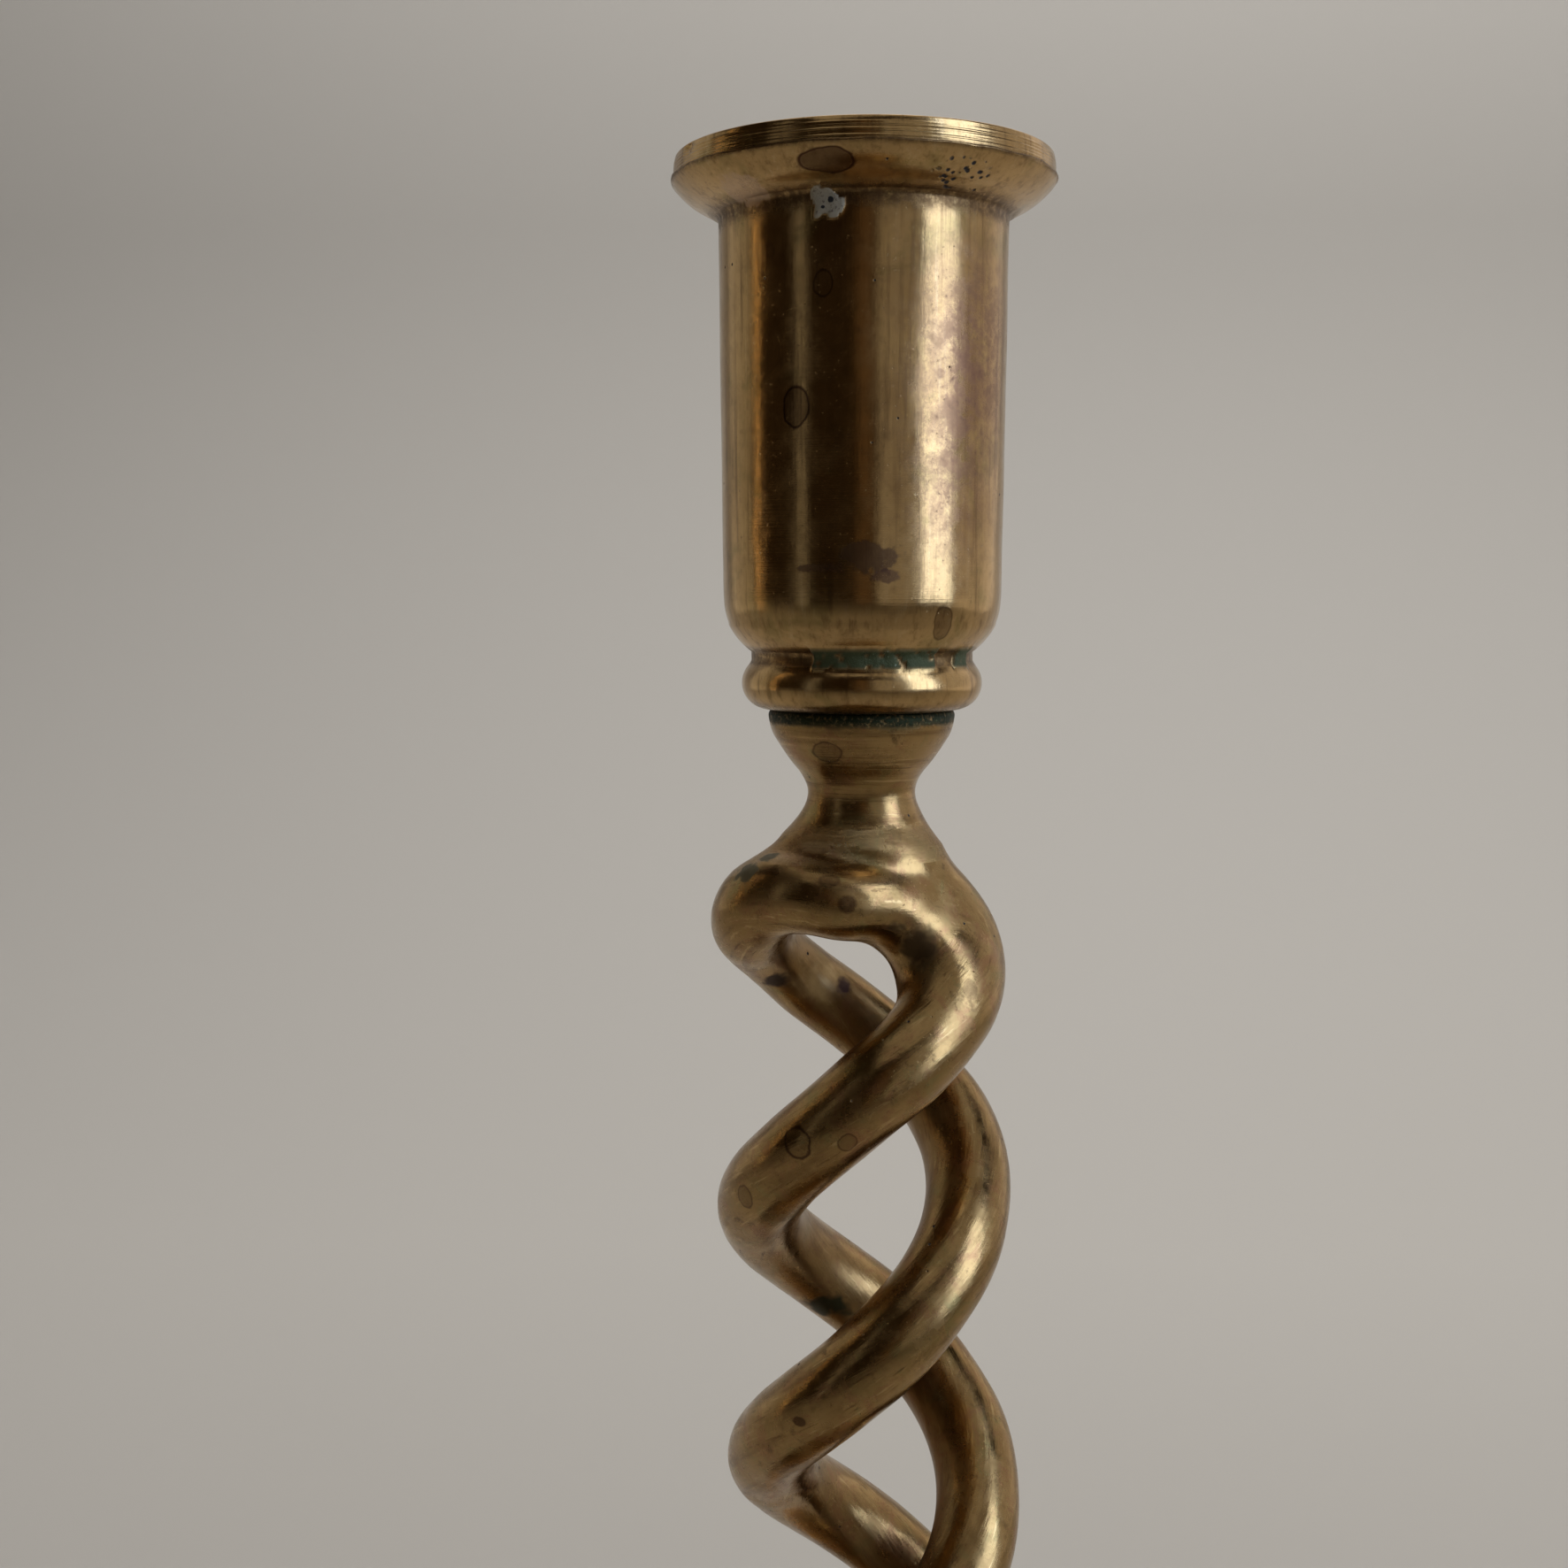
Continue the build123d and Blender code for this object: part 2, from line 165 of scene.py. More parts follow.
class Finish:
    """One finish laid coat by coat; its places are in millimetres on the holder."""

    def __init__(self, name):
        self.material = bpy.data.materials.new(name)
        self.material.use_nodes = True
        self.nodes = self.material.node_tree.nodes
        self.links = self.material.node_tree.links
        self.shader = self.nodes["Principled BSDF"]
        coordinate = self.nodes.new("ShaderNodeTexCoord").outputs["Object"]
        self.place = self.vector("MULTIPLY", coordinate, (1000.0, 1000.0, 1000.0))
        self.metal = 1.0
        self.relief = []

    def join(self, socket, value):
        if isinstance(value, bpy.types.NodeSocket):
            self.links.new(value, socket)
        else:
            socket.default_value = value

    def vector(self, operation, first, second=(0.0, 0.0, 0.0)):
        node = self.nodes.new("ShaderNodeVectorMath")
        node.operation = operation
        self.join(node.inputs[0], first)
        self.join(node.inputs[1], second)
        return node.outputs["Value" if operation == "LENGTH" else "Vector"]

    def sum(self, operation, first, second=0.5):
        node = self.nodes.new("ShaderNodeMath")
        node.operation = operation
        self.join(node.inputs[0], first)
        self.join(node.inputs[1], second)
        return node.outputs["Value"]

    def times(self, first, second):
        return self.sum("MULTIPLY", first, second)

    def patch(self, name):
        """Amount that was painted on the piece under this name."""
        node = self.nodes.new("ShaderNodeAttribute")
        node.attribute_name = name
        return node.outputs["Fac"]

    def clouds(self, size, detail=4.0, roughness=0.55, stretch=None, bend=0.0, place=None):
        """Cloudy pattern about 0.5 with clouds of this size in millimetres."""
        node = self.nodes.new("ShaderNodeTexNoise")
        place = place or self.place
        self.join(node.inputs["Vector"], self.vector("MULTIPLY", place, stretch) if stretch else place)
        node.inputs["Scale"].default_value = 1.0 / size
        node.inputs["Detail"].default_value = detail
        node.inputs["Roughness"].default_value = roughness
        node.inputs["Distortion"].default_value = bend
        return node.outputs["Fac"]

    def fade(self, value, low, high, start=0.0, end=1.0):
        """Turns a value into a smooth step from start at low to end at high."""
        node = self.nodes.new("ShaderNodeMapRange")
        node.interpolation_type = "SMOOTHSTEP"
        for socket, item in zip(node.inputs, (value, low, high, start, end)):
            self.join(socket, item)
        return node.outputs["Result"]

    def coat(self, amount, over, rough=None, metal=None):
        """Lays a colour over the finish by an amount, and may change its gloss and metal there."""
        node = self.nodes.new("ShaderNodeMix")
        node.data_type = "RGBA"
        self.join(node.inputs[0], amount)
        for socket, colour in ((node.inputs[6], self.colour), (node.inputs[7], over)):
            self.join(socket, (*colour, 1.0) if isinstance(colour, tuple) else colour)
        self.colour = node.outputs[2]
        if rough is not None:
            self.rough = self.fade(amount, 0.0, 1.0, self.rough, rough)
        if metal is not None:
            self.metal = self.fade(amount, 0.0, 1.0, self.metal, metal)

    def near(self, centre, size, wobble=0.3, grain=1.3):
        """Distance from a place, 1 at this size, with an uneven edge."""
        gap = self.vector("SUBTRACT", self.place, centre)
        gap = self.vector("MULTIPLY", gap, tuple(1.0 / s for s in size))
        edge = self.times(self.sum("SUBTRACT", self.clouds(grain, 2.0), 0.5), wobble * 4)
        return self.sum("ADD", self.vector("LENGTH", gap), edge)

    def ring_stain(self, centre, size, film, line, colour=(0.07, 0.032, 0.016)):
        """A dried drop: a dark outline and a thinner film inside it."""
        gap = self.near(centre, size, 0.18, max(size) * 1.2)
        inside = self.fade(gap, 1.02, 0.88, 0.0, film)
        rim = self.times(self.fade(gap, 0.8, 0.98), self.fade(gap, 1.16, 1.0, 0.0, line))
        self.coat(self.sum("MAXIMUM", inside, rim), colour)

    def spot(self, centre, size, colour, most, edge=(1.1, 0.75), wobble=0.35, grain=1.0, **gloss):
        """A coloured spot that fades out across its edge, used for stains, rubbed places and a painted
        highlight.
        """
        gap = self.near(centre, size, wobble, grain)
        self.coat(self.fade(gap, *edge, 0.0, most), colour, **gloss)

    def pits(self, spacing, size, share=0.5, colour=(0.02, 0.013, 0.01), within=None):
        """Scattered small dark pits."""
        node = self.nodes.new("ShaderNodeTexVoronoi")
        node.inputs["Scale"].default_value = 1.0 / spacing
        self.join(node.inputs["Vector"], self.place)
        spot = self.fade(node.outputs["Distance"], size / spacing, size / spacing * 0.6)
        chance = self.sum("LESS_THAN", self.clouds(spacing * 3, 1.0, place=node.outputs["Position"]), share)
        amount = self.times(spot, chance)
        if within is not None:
            amount = self.times(amount, within)
        self.coat(amount, colour, rough=0.7, metal=0.2)
        self.relief.append((amount, -0.06))

    def done(self):
        """Hands colour, gloss, metal and relief, in millimetres, to the shader."""
        self.join(self.shader.inputs["Base Color"], self.colour)
        self.join(self.shader.inputs["Roughness"], self.rough)
        self.join(self.shader.inputs["Metallic"], self.metal)
        normal = None
        for pattern, depth in self.relief:
            node = self.nodes.new("ShaderNodeBump")
            node.inputs["Distance"].default_value = depth * millimetre
            self.join(node.inputs["Height"], pattern)
            if normal is not None:
                self.join(node.inputs["Normal"], normal)
            normal = node.outputs["Normal"]
        self.join(self.shader.inputs["Normal"], normal)
        return self.material


def aged_brass(name, gloss=0.18, film=0.5, mottle=0.4):
    """Old brass: honey-coloured metal under a brown film in clouds, mottled, speckled and greenish."""
    finish = Finish(name)
    finish.colour = honey_brass
    finish.rough = finish.fade(finish.clouds(3.2, 5.0, 0.7), 0.3, 0.75, gloss * 0.75, gloss * 1.7)
    finish.coat(finish.fade(finish.clouds(9.0, 5.0, 0.6, bend=0.6), 0.36, 0.7, 0.0, film), brown_film)
    fine = finish.clouds(1.3, 6.0, 0.66)
    finish.coat(finish.fade(fine, 0.5, 0.72, 0.0, mottle), dark_brown)
    finish.coat(finish.fade(finish.clouds(5.5, 4.0, 0.6, bend=0.4), 0.53, 0.7, 0.0, 0.5), green_film)
    speckle = finish.fade(finish.clouds(0.4, 3.0, 0.7), 0.66, 0.76, 0.0, 0.55)
    finish.coat(speckle, dark_speck, rough=0.5)
    finish.relief += [(fine, 0.012), (speckle, -0.02)]
    return finish


def lathe_marks(finish, deep):
    """Fine rings that the lathe tool and the polishing cloth left round the axis."""
    finish.relief.append((finish.clouds(0.45, 3.0, 0.6, stretch=(0.04, 0.04, 3.0)), deep))
    finish.relief.append((finish.clouds(0.5, 3.0, 0.7, stretch=(2.2, 2.2, 0.25)), deep * 0.5))


def verdigris(finish, grit):
    """Green crust in patches that were painted on the piece."""
    amount = finish.times(finish.patch("verdigris"), finish.fade(grit, 0.35, 0.6))
    finish.coat(amount, green_crust, rough=0.7, metal=0.5)


foot_outline = soften(turning(
    (ring_inside, 0.0), (foot_edge, 0.0), (foot_edge, 3.2), ((54.65, 4.05), (53.8, 4.4)), (step_edge, 4.4),
    (step_edge, 5.4), ((48.55, 7.25), (46.5, 7.6)), (33.0, 9.6), ((28.4, 13.9), (21.0, 15.2)),
    ((16.65, 18.2), (neck_edge, neck_height)), (13.4, neck_height), (13.4, foot_crown),
    (stud_hole, foot_crown), (stud_hole, boss_height), (boss_edge, boss_height), (boss_edge, 12.0),
    (17.8, 12.0), (29.8, 6.4), (43.3, 4.4), (ring_inside, 1.2), (ring_inside, 0.0), spacing=0.55,
), 3)
foot_outline[:, 1] = np.maximum(foot_outline[:, 1], 0.0)
foot = turned_points(foot_outline[:-1], foot_sides)
foot_height, foot_radius = foot[..., 2], np.linalg.norm(foot[..., :2], axis=-1)
rings = len(foot)
hole_rim = (3.3, foot_crown)
crown_ring = int(np.argmin(np.abs(foot_outline[:-1] - hole_rim).sum(1)))
ring_share = np.arange(rings)[:, None] / rings
rough_cast = ease(ring_share, (crown_ring + 2) / rings, (crown_ring + 6) / rings) * np.ones_like(foot_radius)
sag = waves(foot, 22.0, 41) * 0.05 + waves(foot, 6.0, 42) * 0.015
sag += rough_cast * (waves(foot, 4.0, 43) * 0.10 + waves(foot, 1.9, 44) * 0.05)
sag = np.where(foot_radius < 14.0, sag * 0.3, sag) * (foot_radius > 3.6)
draw = np.random.default_rng(7)
for angle in draw.uniform(0, 2 * math.pi, 9):
    reach = draw.uniform(54.2, foot_edge)
    place = (reach * math.cos(angle), reach * math.sin(angle), draw.uniform(1.5, 4.0))
    sag -= knock(foot, place, draw.uniform(0.8, 2.0), draw.uniform(0.15, 0.4))
foot_height += np.where(foot_height > 0.3, sag, 0)
push_out(foot, np.where(foot_radius > 50.0, np.minimum(sag, 0), 0))
round_foot = fit_piece("round_foot", foot, turned_faces(rings, foot_sides, True), "round_base")
paint(round_foot, "rough_cast", rough_cast)
under_knop = ease(foot_radius, neck_edge, 13.2) * ease(foot_radius, 12.0, 12.8) * (foot_height > 24.0)
corners = np.exp(-((foot_radius - 14.9) / 0.8) ** 2) * np.exp(-((foot_height - neck_height) / 1.2) ** 2)
corners += np.exp(-((foot_radius - 49.7) / 0.5) ** 2) * np.exp(-((foot_height - 4.5) / 0.6) ** 2)
paint(round_foot, "verdigris", (under_knop + corners * 0.8) * (0.5 + 0.7 * waves(foot, 5.0, 45)))
worn_edge = np.exp(-((foot_radius - foot_edge) / 0.7) ** 2)
worn_edge += np.exp(-((foot_radius - step_edge) / 0.4) ** 2 - (foot_height - 5.4) ** 2)
paint(round_foot, "worn_edge", worn_edge * (1 - rough_cast))

foot_finish = aged_brass("foot_polished_brass", gloss=0.18, film=0.55, mottle=0.35)
foot_finish.coat(foot_finish.patch("worn_edge"), worn_bright, rough=0.22)
for centre, size, film, line in (
    ((-24.0, -27.0, 8.8), (2.6, 2.0, 3.0), 0.45, 0.7), ((31.0, -20.0, 8.6), (1.6, 2.1, 3.0), 0.3, 0.75),
    ((8.0, -38.0, 8.4), (1.4, 1.1, 3.0), 0.4, 0.8), ((-40.0, 6.0, 8.0), (2.2, 3.0, 3.0), 0.35, 0.6),
    ((12.0, 40.0, 8.2), (3.0, 1.8, 3.0), 0.4, 0.7), ((38.0, 17.0, 8.2), (1.3, 1.2, 3.0), 0.2, 0.8),
):
    foot_finish.ring_stain(centre, size, film, line)
lathe_marks(foot_finish, 0.012)
foot_grit = foot_finish.clouds(0.7, 5.0, 0.7)
verdigris(foot_finish, foot_grit)
cast_skin = foot_finish.patch("rough_cast")
foot_finish.coat(cast_skin, raw_casting, rough=0.62)
foot_finish.coat(foot_finish.times(cast_skin, foot_finish.fade(foot_grit, 0.5, 0.75)), hollow_dirt, metal=0.3)
foot_finish.relief.append((foot_finish.times(cast_skin, foot_grit), 0.25))
foot_finish.pits(2.4, 0.22, share=0.45)
round_foot.data.materials.append(foot_finish.done())

# A steel stud runs up from the hollow through the foot and the knop into the stem. A washer and a
# hexagon nut under the foot's boss draw them together. All three are bare steel with light rust.
thread_radius, thread_pitch, thread_depth_share = 3.175, 1.27, 0.54
stud_chamfer = 0.75
washer_sides, nut_sides = 128, 216
washer_low, washer_edge, washer_hole = 9.7, 8.0, 3.425
nut_flat, nut_mouth, nut_ring = 5.55, 3.9, 5.3
nut_low, nut_high = 4.7, 9.7
nut_bevel = math.tan(math.radians(30))
nut_countersink, nut_corner_wear = 0.6, 0.06
bare_steel = (0.42, 0.40, 0.38)
dull_brown = (0.24, 0.17, 0.12)
red_rust = (0.16, 0.06, 0.025)
black_grit = (0.05, 0.035, 0.03)


def dull_steel(name):
    """Bare steel, dulled, with rust blooms and a few wiped bright places."""
    finish = Finish(name)
    finish.colour = bare_steel
    finish.rough = finish.fade(finish.clouds(2.0, 4.0, 0.6), 0.3, 0.7, 0.26, 0.46)
    bloom = finish.clouds(2.2, 6.0, 0.7, bend=0.5)
    finish.coat(finish.fade(bloom, 0.46, 0.6, 0.0, 0.6), dull_brown, rough=0.55)
    finish.coat(finish.fade(bloom, 0.56, 0.68, 0.0, 0.9), red_rust, rough=0.85, metal=0.1)
    grit = finish.clouds(0.35, 4.0, 0.7)
    finish.coat(finish.fade(grit, 0.62, 0.72, 0.0, 0.6), black_grit, rough=0.8, metal=0.4)
    finish.relief += [(bloom, 0.03), (grit, 0.03)]
    return finish


def threaded_stud(name, low, high, node, sides=72):
    """A stud with a real thread wound round it and a chamfer at each end."""
    heights = np.linspace(low, high, round((high - low) / thread_pitch * 10) + 1)
    heights = np.concatenate([[low, low], heights, [high, high]])
    turn = np.linspace(0, 2 * math.pi, sides, endpoint=False)
    phase = (heights[:, None] / thread_pitch - turn / (2 * math.pi)) % 1
    ridge = np.clip(np.abs(phase - 0.5) * 2.5 - 0.12, 0, 1)
    skin = thread_radius - thread_pitch * thread_depth_share * (1 - ridge)
    from_end = np.minimum(heights - low, high - heights)[:, None]
    skin = np.minimum(skin, thread_radius - stud_chamfer + from_end)
    skin[0] = skin[-1] = 0.05
    skin[1], skin[-2] = skin[2], skin[-3]
    up = np.broadcast_to(heights[:, None], skin.shape)
    points = np.stack([skin * np.cos(turn), skin * np.sin(turn), up], -1)
    return fit_piece(name, points, turned_faces(len(heights), sides, False), node)


def nut_face(share):
    """Radius of a ring on the nut's bevelled face, and its depth below that face."""
    reach = nut_mouth + (hexagon - nut_mouth) * share
    return reach, np.maximum(reach - nut_ring, 0) * nut_bevel


foot_stud = threaded_stud("foot_stud", 2.4, 50.6, "base_stud")
washer_outline = turning(
    (washer_hole, washer_low), (7.7, washer_low), ((7.95, 9.8), (washer_edge, 10.1)), (washer_edge, 10.75),
    ((7.9, 10.95), (7.7, boss_height)), (washer_hole, boss_height), (washer_hole, washer_low), spacing=0.3,
)
washer = turned_points(washer_outline[:-1], washer_sides)
washer[..., 2] += (waves(washer * [1, 1, 0.2], 5.0, 51) * 0.02 - 0.02) * (washer[..., 2] < 10.9)
washer_faces = turned_faces(len(washer), washer_sides, True)
plain_washer = fit_piece("plain_washer", washer, washer_faces, "base_washer")

nut_turn = np.linspace(0, 2 * math.pi, nut_sides, endpoint=False)
hexagon = nut_flat / np.cos((nut_turn % (math.pi / 3)) - math.pi / 6)
hexagon = np.minimum(hexagon, nut_flat / math.cos(math.pi / 6) - nut_corner_wear)
side_low = nut_low + np.maximum(hexagon - nut_ring, 0) * nut_bevel
side_high = nut_high - np.maximum(hexagon - nut_ring, 0) * nut_bevel
level = np.ones(nut_sides)
nut_rows = [(level * stud_hole, level * (nut_low + nut_countersink)), (level * nut_mouth, level * nut_low)]
for share in np.linspace(0.3, 1, 8):
    reach, drop = nut_face(share)
    nut_rows.append((reach, nut_low + drop))
for share in np.linspace(0.12, 0.88, 8):
    nut_rows.append((hexagon, side_low + (side_high - side_low) * share))
for share in np.linspace(1, 0.3, 8):
    reach, drop = nut_face(share)
    nut_rows.append((reach, nut_high - drop))
nut_rows += [(level * nut_mouth, level * nut_high), (level * stud_hole, level * (nut_high - nut_countersink))]
nut = np.stack([np.stack([r * np.cos(nut_turn), r * np.sin(nut_turn), z], -1) for r, z in nut_rows])
hex_nut = fit_piece("hex_nut", nut, turned_faces(len(nut), nut_sides, True), "base_nut")
hex_nut.data.set_sharp_from_angle(angle=math.radians(24))
for part, finish_name in ((foot_stud, "stud_steel"), (plain_washer, "washer_steel"), (hex_nut, "nut_steel")):
    part.data.materials.append(dull_steel(finish_name).done())

# The knop is turned from brass bar: a round body on the foot's crown, a groove, and a bead like the
# cup's under the stem. It is bored through for the stud, and held only by it.
knop_sides = 320
knop_top = 44.0
knop_groove = 38.7
knop_outline = turning(
    (stud_hole, foot_crown), (11.45, foot_crown), ((12.8, 32.6), (8.8, 38.45)), (8.85, knop_groove),
    (10.365, 39.31), ((11.63, 41.5), (9.49, knop_top)), (stud_hole, knop_top), (stud_hole, foot_crown),
    spacing=0.35,
)
knop = turned_points(soften(knop_outline, 2)[:-1], knop_sides)
knop_height, knop_radius = knop[..., 2], np.linalg.norm(knop[..., :2], axis=-1)
push_out(knop, (waves(knop, 9.0, 61) * 0.04 + waves(knop, 3.0, 62) * 0.012 - 0.03) * (knop_radius > 7.0))
foot_knop = fit_piece("knop", knop, turned_faces(len(knop), knop_sides, True), "foot_knop")
in_knop_groove = np.exp(-((knop_height - knop_groove) / 0.7) ** 2) * (knop_radius < 10.2)
knop_joints = ease(knop_height, 29.0, 28.2) + ease(knop_height, 43.2, 43.9)
paint(foot_knop, "verdigris", (in_knop_groove + knop_joints * 0.7) * (0.45 + 0.9 * waves(knop, 4.0, 63)))
knop_finish = aged_brass("knop_polished_brass", gloss=0.18, film=0.5, mottle=0.35)
knop_finish.ring_stain((-4.5, -11.6, 33.5), (1.5, 2.0, 1.1), 0.4, 0.8)
knop_finish.ring_stain((7.0, -10.0, 31.0), (1.0, 1.4, 0.9), 0.3, 0.7)
lathe_marks(knop_finish, 0.014)
verdigris(knop_finish, knop_finish.clouds(0.6, 5.0, 0.7))
knop_finish.pits(2.0, 0.18, share=0.42)
foot_knop.data.materials.append(knop_finish.done())

# The stem is one brass casting with a turned collar and neck at each end and two round strands wound
# round each other between them, filed and polished by hand. So the strands vary in thickness, lean a
# little, and show file marks, wrinkles in the bends and stains. One limb flows out of each neck.
stem_top, stem_foot = 202.25, knop_top
rim_line = 248.4
strand_circle = 10.46
twist_pitch = 56.94
stem_grain = 0.42
collar_depths = [0.0, 0.35, 1.15, 2.25, 3.65, 5.05, 6.45, 7.85, 8.75, 9.95, 10.65, 12.05, 13.3, 15.5]
collar_radii = [8.75, 9.0, 9.0, 8.71, 7.89, 6.93, 5.84, 5.2, 5.05, 5.15, 5.35, 5.9, 6.5, 7.6]

# Each way leads from the neck into the even twist: right, back and up in millimetres, and thickness
right_way = [
    (2.2, -0.9, 187.9, 4.0), (4.0, -0.7, 185.9, 4.3), (5.8, -0.2, 184.1, 4.4), (7.4, 0.2, 182.3, 4.4),
    (8.7, 0.3, 180.4, 4.4), (9.6, -0.5, 178.0, 4.4), (9.6, -2.9, 175.8, 4.4), (8.5, -5.4, 173.8, 4.4),
    (4.9, -9.1, 169.9, 4.4),
]
left_way = [
    (3.0, -3.6, 183.6, 3.6), (1.0, -5.3, 183.9, 3.7), (-1.6, -6.4, 184.2, 3.75), (-4.3, -6.3, 184.7, 3.75),
    (-6.7, -5.4, 184.7, 3.8), (-8.8, -3.9, 184.0, 3.95), (-10.1, -2.2, 182.8, 4.1), (-10.7, 0.3, 181.0, 4.1),
    (-10.4, 2.9, 179.2, 3.8), (-9.2, 5.4, 177.2, 3.6), (-5.4, 9.1, 173.0, 3.7), (-0.1, 10.4, 168.7, 3.75),
    (5.2, 9.0, 164.3, 3.85),
]
crotch_way = [
    (2.0, -3.4, 184.2, 3.4), (4.4, -3.0, 182.0, 3.9), (6.4, -3.0, 179.5, 4.15), (7.6, -3.5, 177.0, 4.1),
    (8.4, -5.2, 174.2, 3.0),
]
shoulder_way = [
    (-2.2, -0.3, 189.2, 3.7), (-4.2, -0.9, 187.8, 3.5), (-6.3, -1.7, 186.5, 3.4), (-8.2, -2.3, 185.2, 3.4),
    (-9.7, -1.9, 183.8, 3.6),
]
foot_turn = math.radians(159)
foot_swing = complex(math.cos(foot_turn), math.sin(foot_turn))
even_turns = {"right": (7.5063, -0.0206, -0.0461), "left": (10.3105, -0.0516, -0.0099)}
lean_heights = [stem_foot, 60, 83, 98, 114, 125, 138, 152, 166, 176, 190, stem_top]
lean_right = [0.0, 0.1, 1.1, 1.7, 1.92, 1.57, 1.07, 0.51, -0.11, -0.3, -0.1, 0.0]
lean_back = [0.0, 0.0, -0.6, -1.0, -1.11, -0.92, -0.7, -0.45, -0.2, 0.0, 0.0, 0.0]
even_thickness = 4.22
neck_tilt, neck_end, neck_end_radius = 0.1, 11.5, 5.5
limb_fillet, crotch_fillet, shoulder_fillet, crossing_fillet = 4.5, 2.5, 3.0, 1.0
stem_box = (-17.0, -16.6, stem_foot - 1.0), (18.0, 16.6, stem_top + 1.0)
warm_film = (0.285, 0.175, 0.064)
copper_blush = (0.31, 0.145, 0.07)
olive_film = (0.27, 0.22, 0.085)
smudge_brown = (0.10, 0.058, 0.026)
streak_brown = (0.165, 0.092, 0.035)
polished_stroke = (0.60, 0.42, 0.19)
dark_stroke = (0.12, 0.062, 0.025)
inner_brown = (0.15, 0.085, 0.035)
# Colour of the painted highlight on the back strand.
painted_highlight_brass = (0.60, 0.43, 0.21)
shoulder_green = (0.085, 0.080, 0.036)
joint_crust = (0.019, 0.025, 0.009)
joint_crumbs = (0.09, 0.12, 0.05)


def smooth_through(places, values, at):
    """Smooth curve through values at places, read at other places."""
    places, values, at = (np.asarray(a, float) for a in (places, values, at))
    if values.ndim == 1:
        return smooth_through(places, values[:, None], at)[..., 0]
    run = np.diff(places)[:, None]
    rise = np.diff(values, axis=0) / run
    share = run[1:] / (run[:-1] + run[1:])
    slope = np.concatenate([rise[:1], rise[:-1] * share + rise[1:] * (1 - share), rise[-1:]])
    i = np.clip(np.searchsorted(places, at) - 1, 0, len(run) - 1)
    step = run[i]
    t = (at - places[i])[..., None] / step
    return (values[i] * (1 + 2 * t) * (1 - t) ** 2 + slope[i] * step * t * (1 - t) ** 2
            + values[i + 1] * t * t * (3 - 2 * t) - slope[i + 1] * step * t * t * (1 - t))


def even_place(side, height):
    """Place on the evenly twisted part of a strand."""
    start, swing, sway = even_turns[side]
    turn = start + 2 * math.pi * (height - rim_line) / twist_pitch
    turn += swing * math.cos(turn) + sway * math.sin(turn)
    right = strand_circle * math.cos(turn) + smooth_through(lean_heights, lean_right, [height])[0]
    back = strand_circle * math.sin(turn) + smooth_through(lean_heights, lean_back, [height])[0]
    return right, back, height, even_thickness


def turned_over(way):
    """The limb at the foot end that answers a limb at the top end."""
    foot = np.array(way) * [1, -1, -1, 1] + [0, 0, stem_top + stem_foot, 0]
    level = (foot[:, 0] + 1j * foot[:, 1]) * foot_swing
    foot[:, 0], foot[:, 1] = level.real, level.imag
    foot[:, 0] += smooth_through(lean_heights, lean_right, foot[:, 2])
    return foot


def strand_line(side, top_way, foot_way):
    """Centre line of a strand, foot to top and 0.5 mm apart, with its thickness as fourth value."""
    top, foot = np.array(top_way)[::-1], turned_over(foot_way)
    low, high = foot[-1, 2], top[0, 2]
    goal = even_place(side, low)
    miss = math.atan2(foot[-1, 1], foot[-1, 0]) - math.atan2(goal[1], goal[0])
    miss = (miss + math.pi) % (2 * math.pi) - math.pi
    steps = round((high - low) / 3.2)
    even = np.array([even_place(side, low + (high - low) * i / steps) for i in range(1, steps)])
    level = (even[:, 0] + 1j * even[:, 1]) * np.exp(1j * miss * (1 - ease(even[:, 2], low, low + 45.0)))
    even[:, 0], even[:, 1] = level.real, level.imag
    return half_millimetres(np.vstack([foot, even, top]))


def half_millimetres(knots):
    """Smooth line through knots, as points 0.5 mm apart."""
    along = np.concatenate([[0], np.cumsum(np.linalg.norm(np.diff(knots[:, :3], axis=0), axis=1))])
    return smooth_through(along, knots, np.arange(0, along[-1], 0.5))


strands = [strand_line("right", right_way, left_way), strand_line("left", left_way, right_way)]
crotches = [half_millimetres(way) for way in (np.array(crotch_way), turned_over(crotch_way))]
shoulders = [half_millimetres(way) for way in (np.array(shoulder_way), turned_over(shoulder_way))]


def strand_gap(points, line):
    """Distance of points from a strand's skin, and where along its line the nearest place is."""
    gap, along = np.full(len(points), 9.0), np.zeros(len(points))
    order = np.argsort(points[:, 2], kind="stable")
    at_once, reach = 4000, 7
    for first in range(0, len(order), at_once):
        some = order[first:first + at_once]
        places = points[some]
        low, high = places[:, 2].min() - reach, places[:, 2].max() + reach
        near = np.flatnonzero((line[:-1, 2] > low) & (line[:-1, 2] < high))
        if not len(near):
            continue
        begin, run = line[near, :3], line[near + 1, :3] - line[near, :3]
        ahead = places @ run.T - (begin * run).sum(1)
        length = (run * run).sum(1)
        share = np.clip(ahead / length, 0, 1)
        square = (places * places).sum(1)[:, None] + (begin * begin).sum(1) - 2 * places @ begin.T
        square = square - 2 * share * ahead + share * share * length
        thickness = line[near, 3] + share * (line[near + 1, 3] - line[near, 3])
        skin = np.sqrt(np.maximum(square, 0)) - thickness
        best = skin.argmin(1)
        rows = np.arange(len(some))
        gap[some], along[some] = skin[rows, best], near[best] + share[rows, best]
    return gap, along


def blend_in(first, second, width):
    """Smaller of two distances, with a fillet of this width where they meet."""
    share = np.clip(0.5 + 0.5 * (second - first) / width, 0, 1)
    return second + (first - second) * share - width * share * (1 - share)


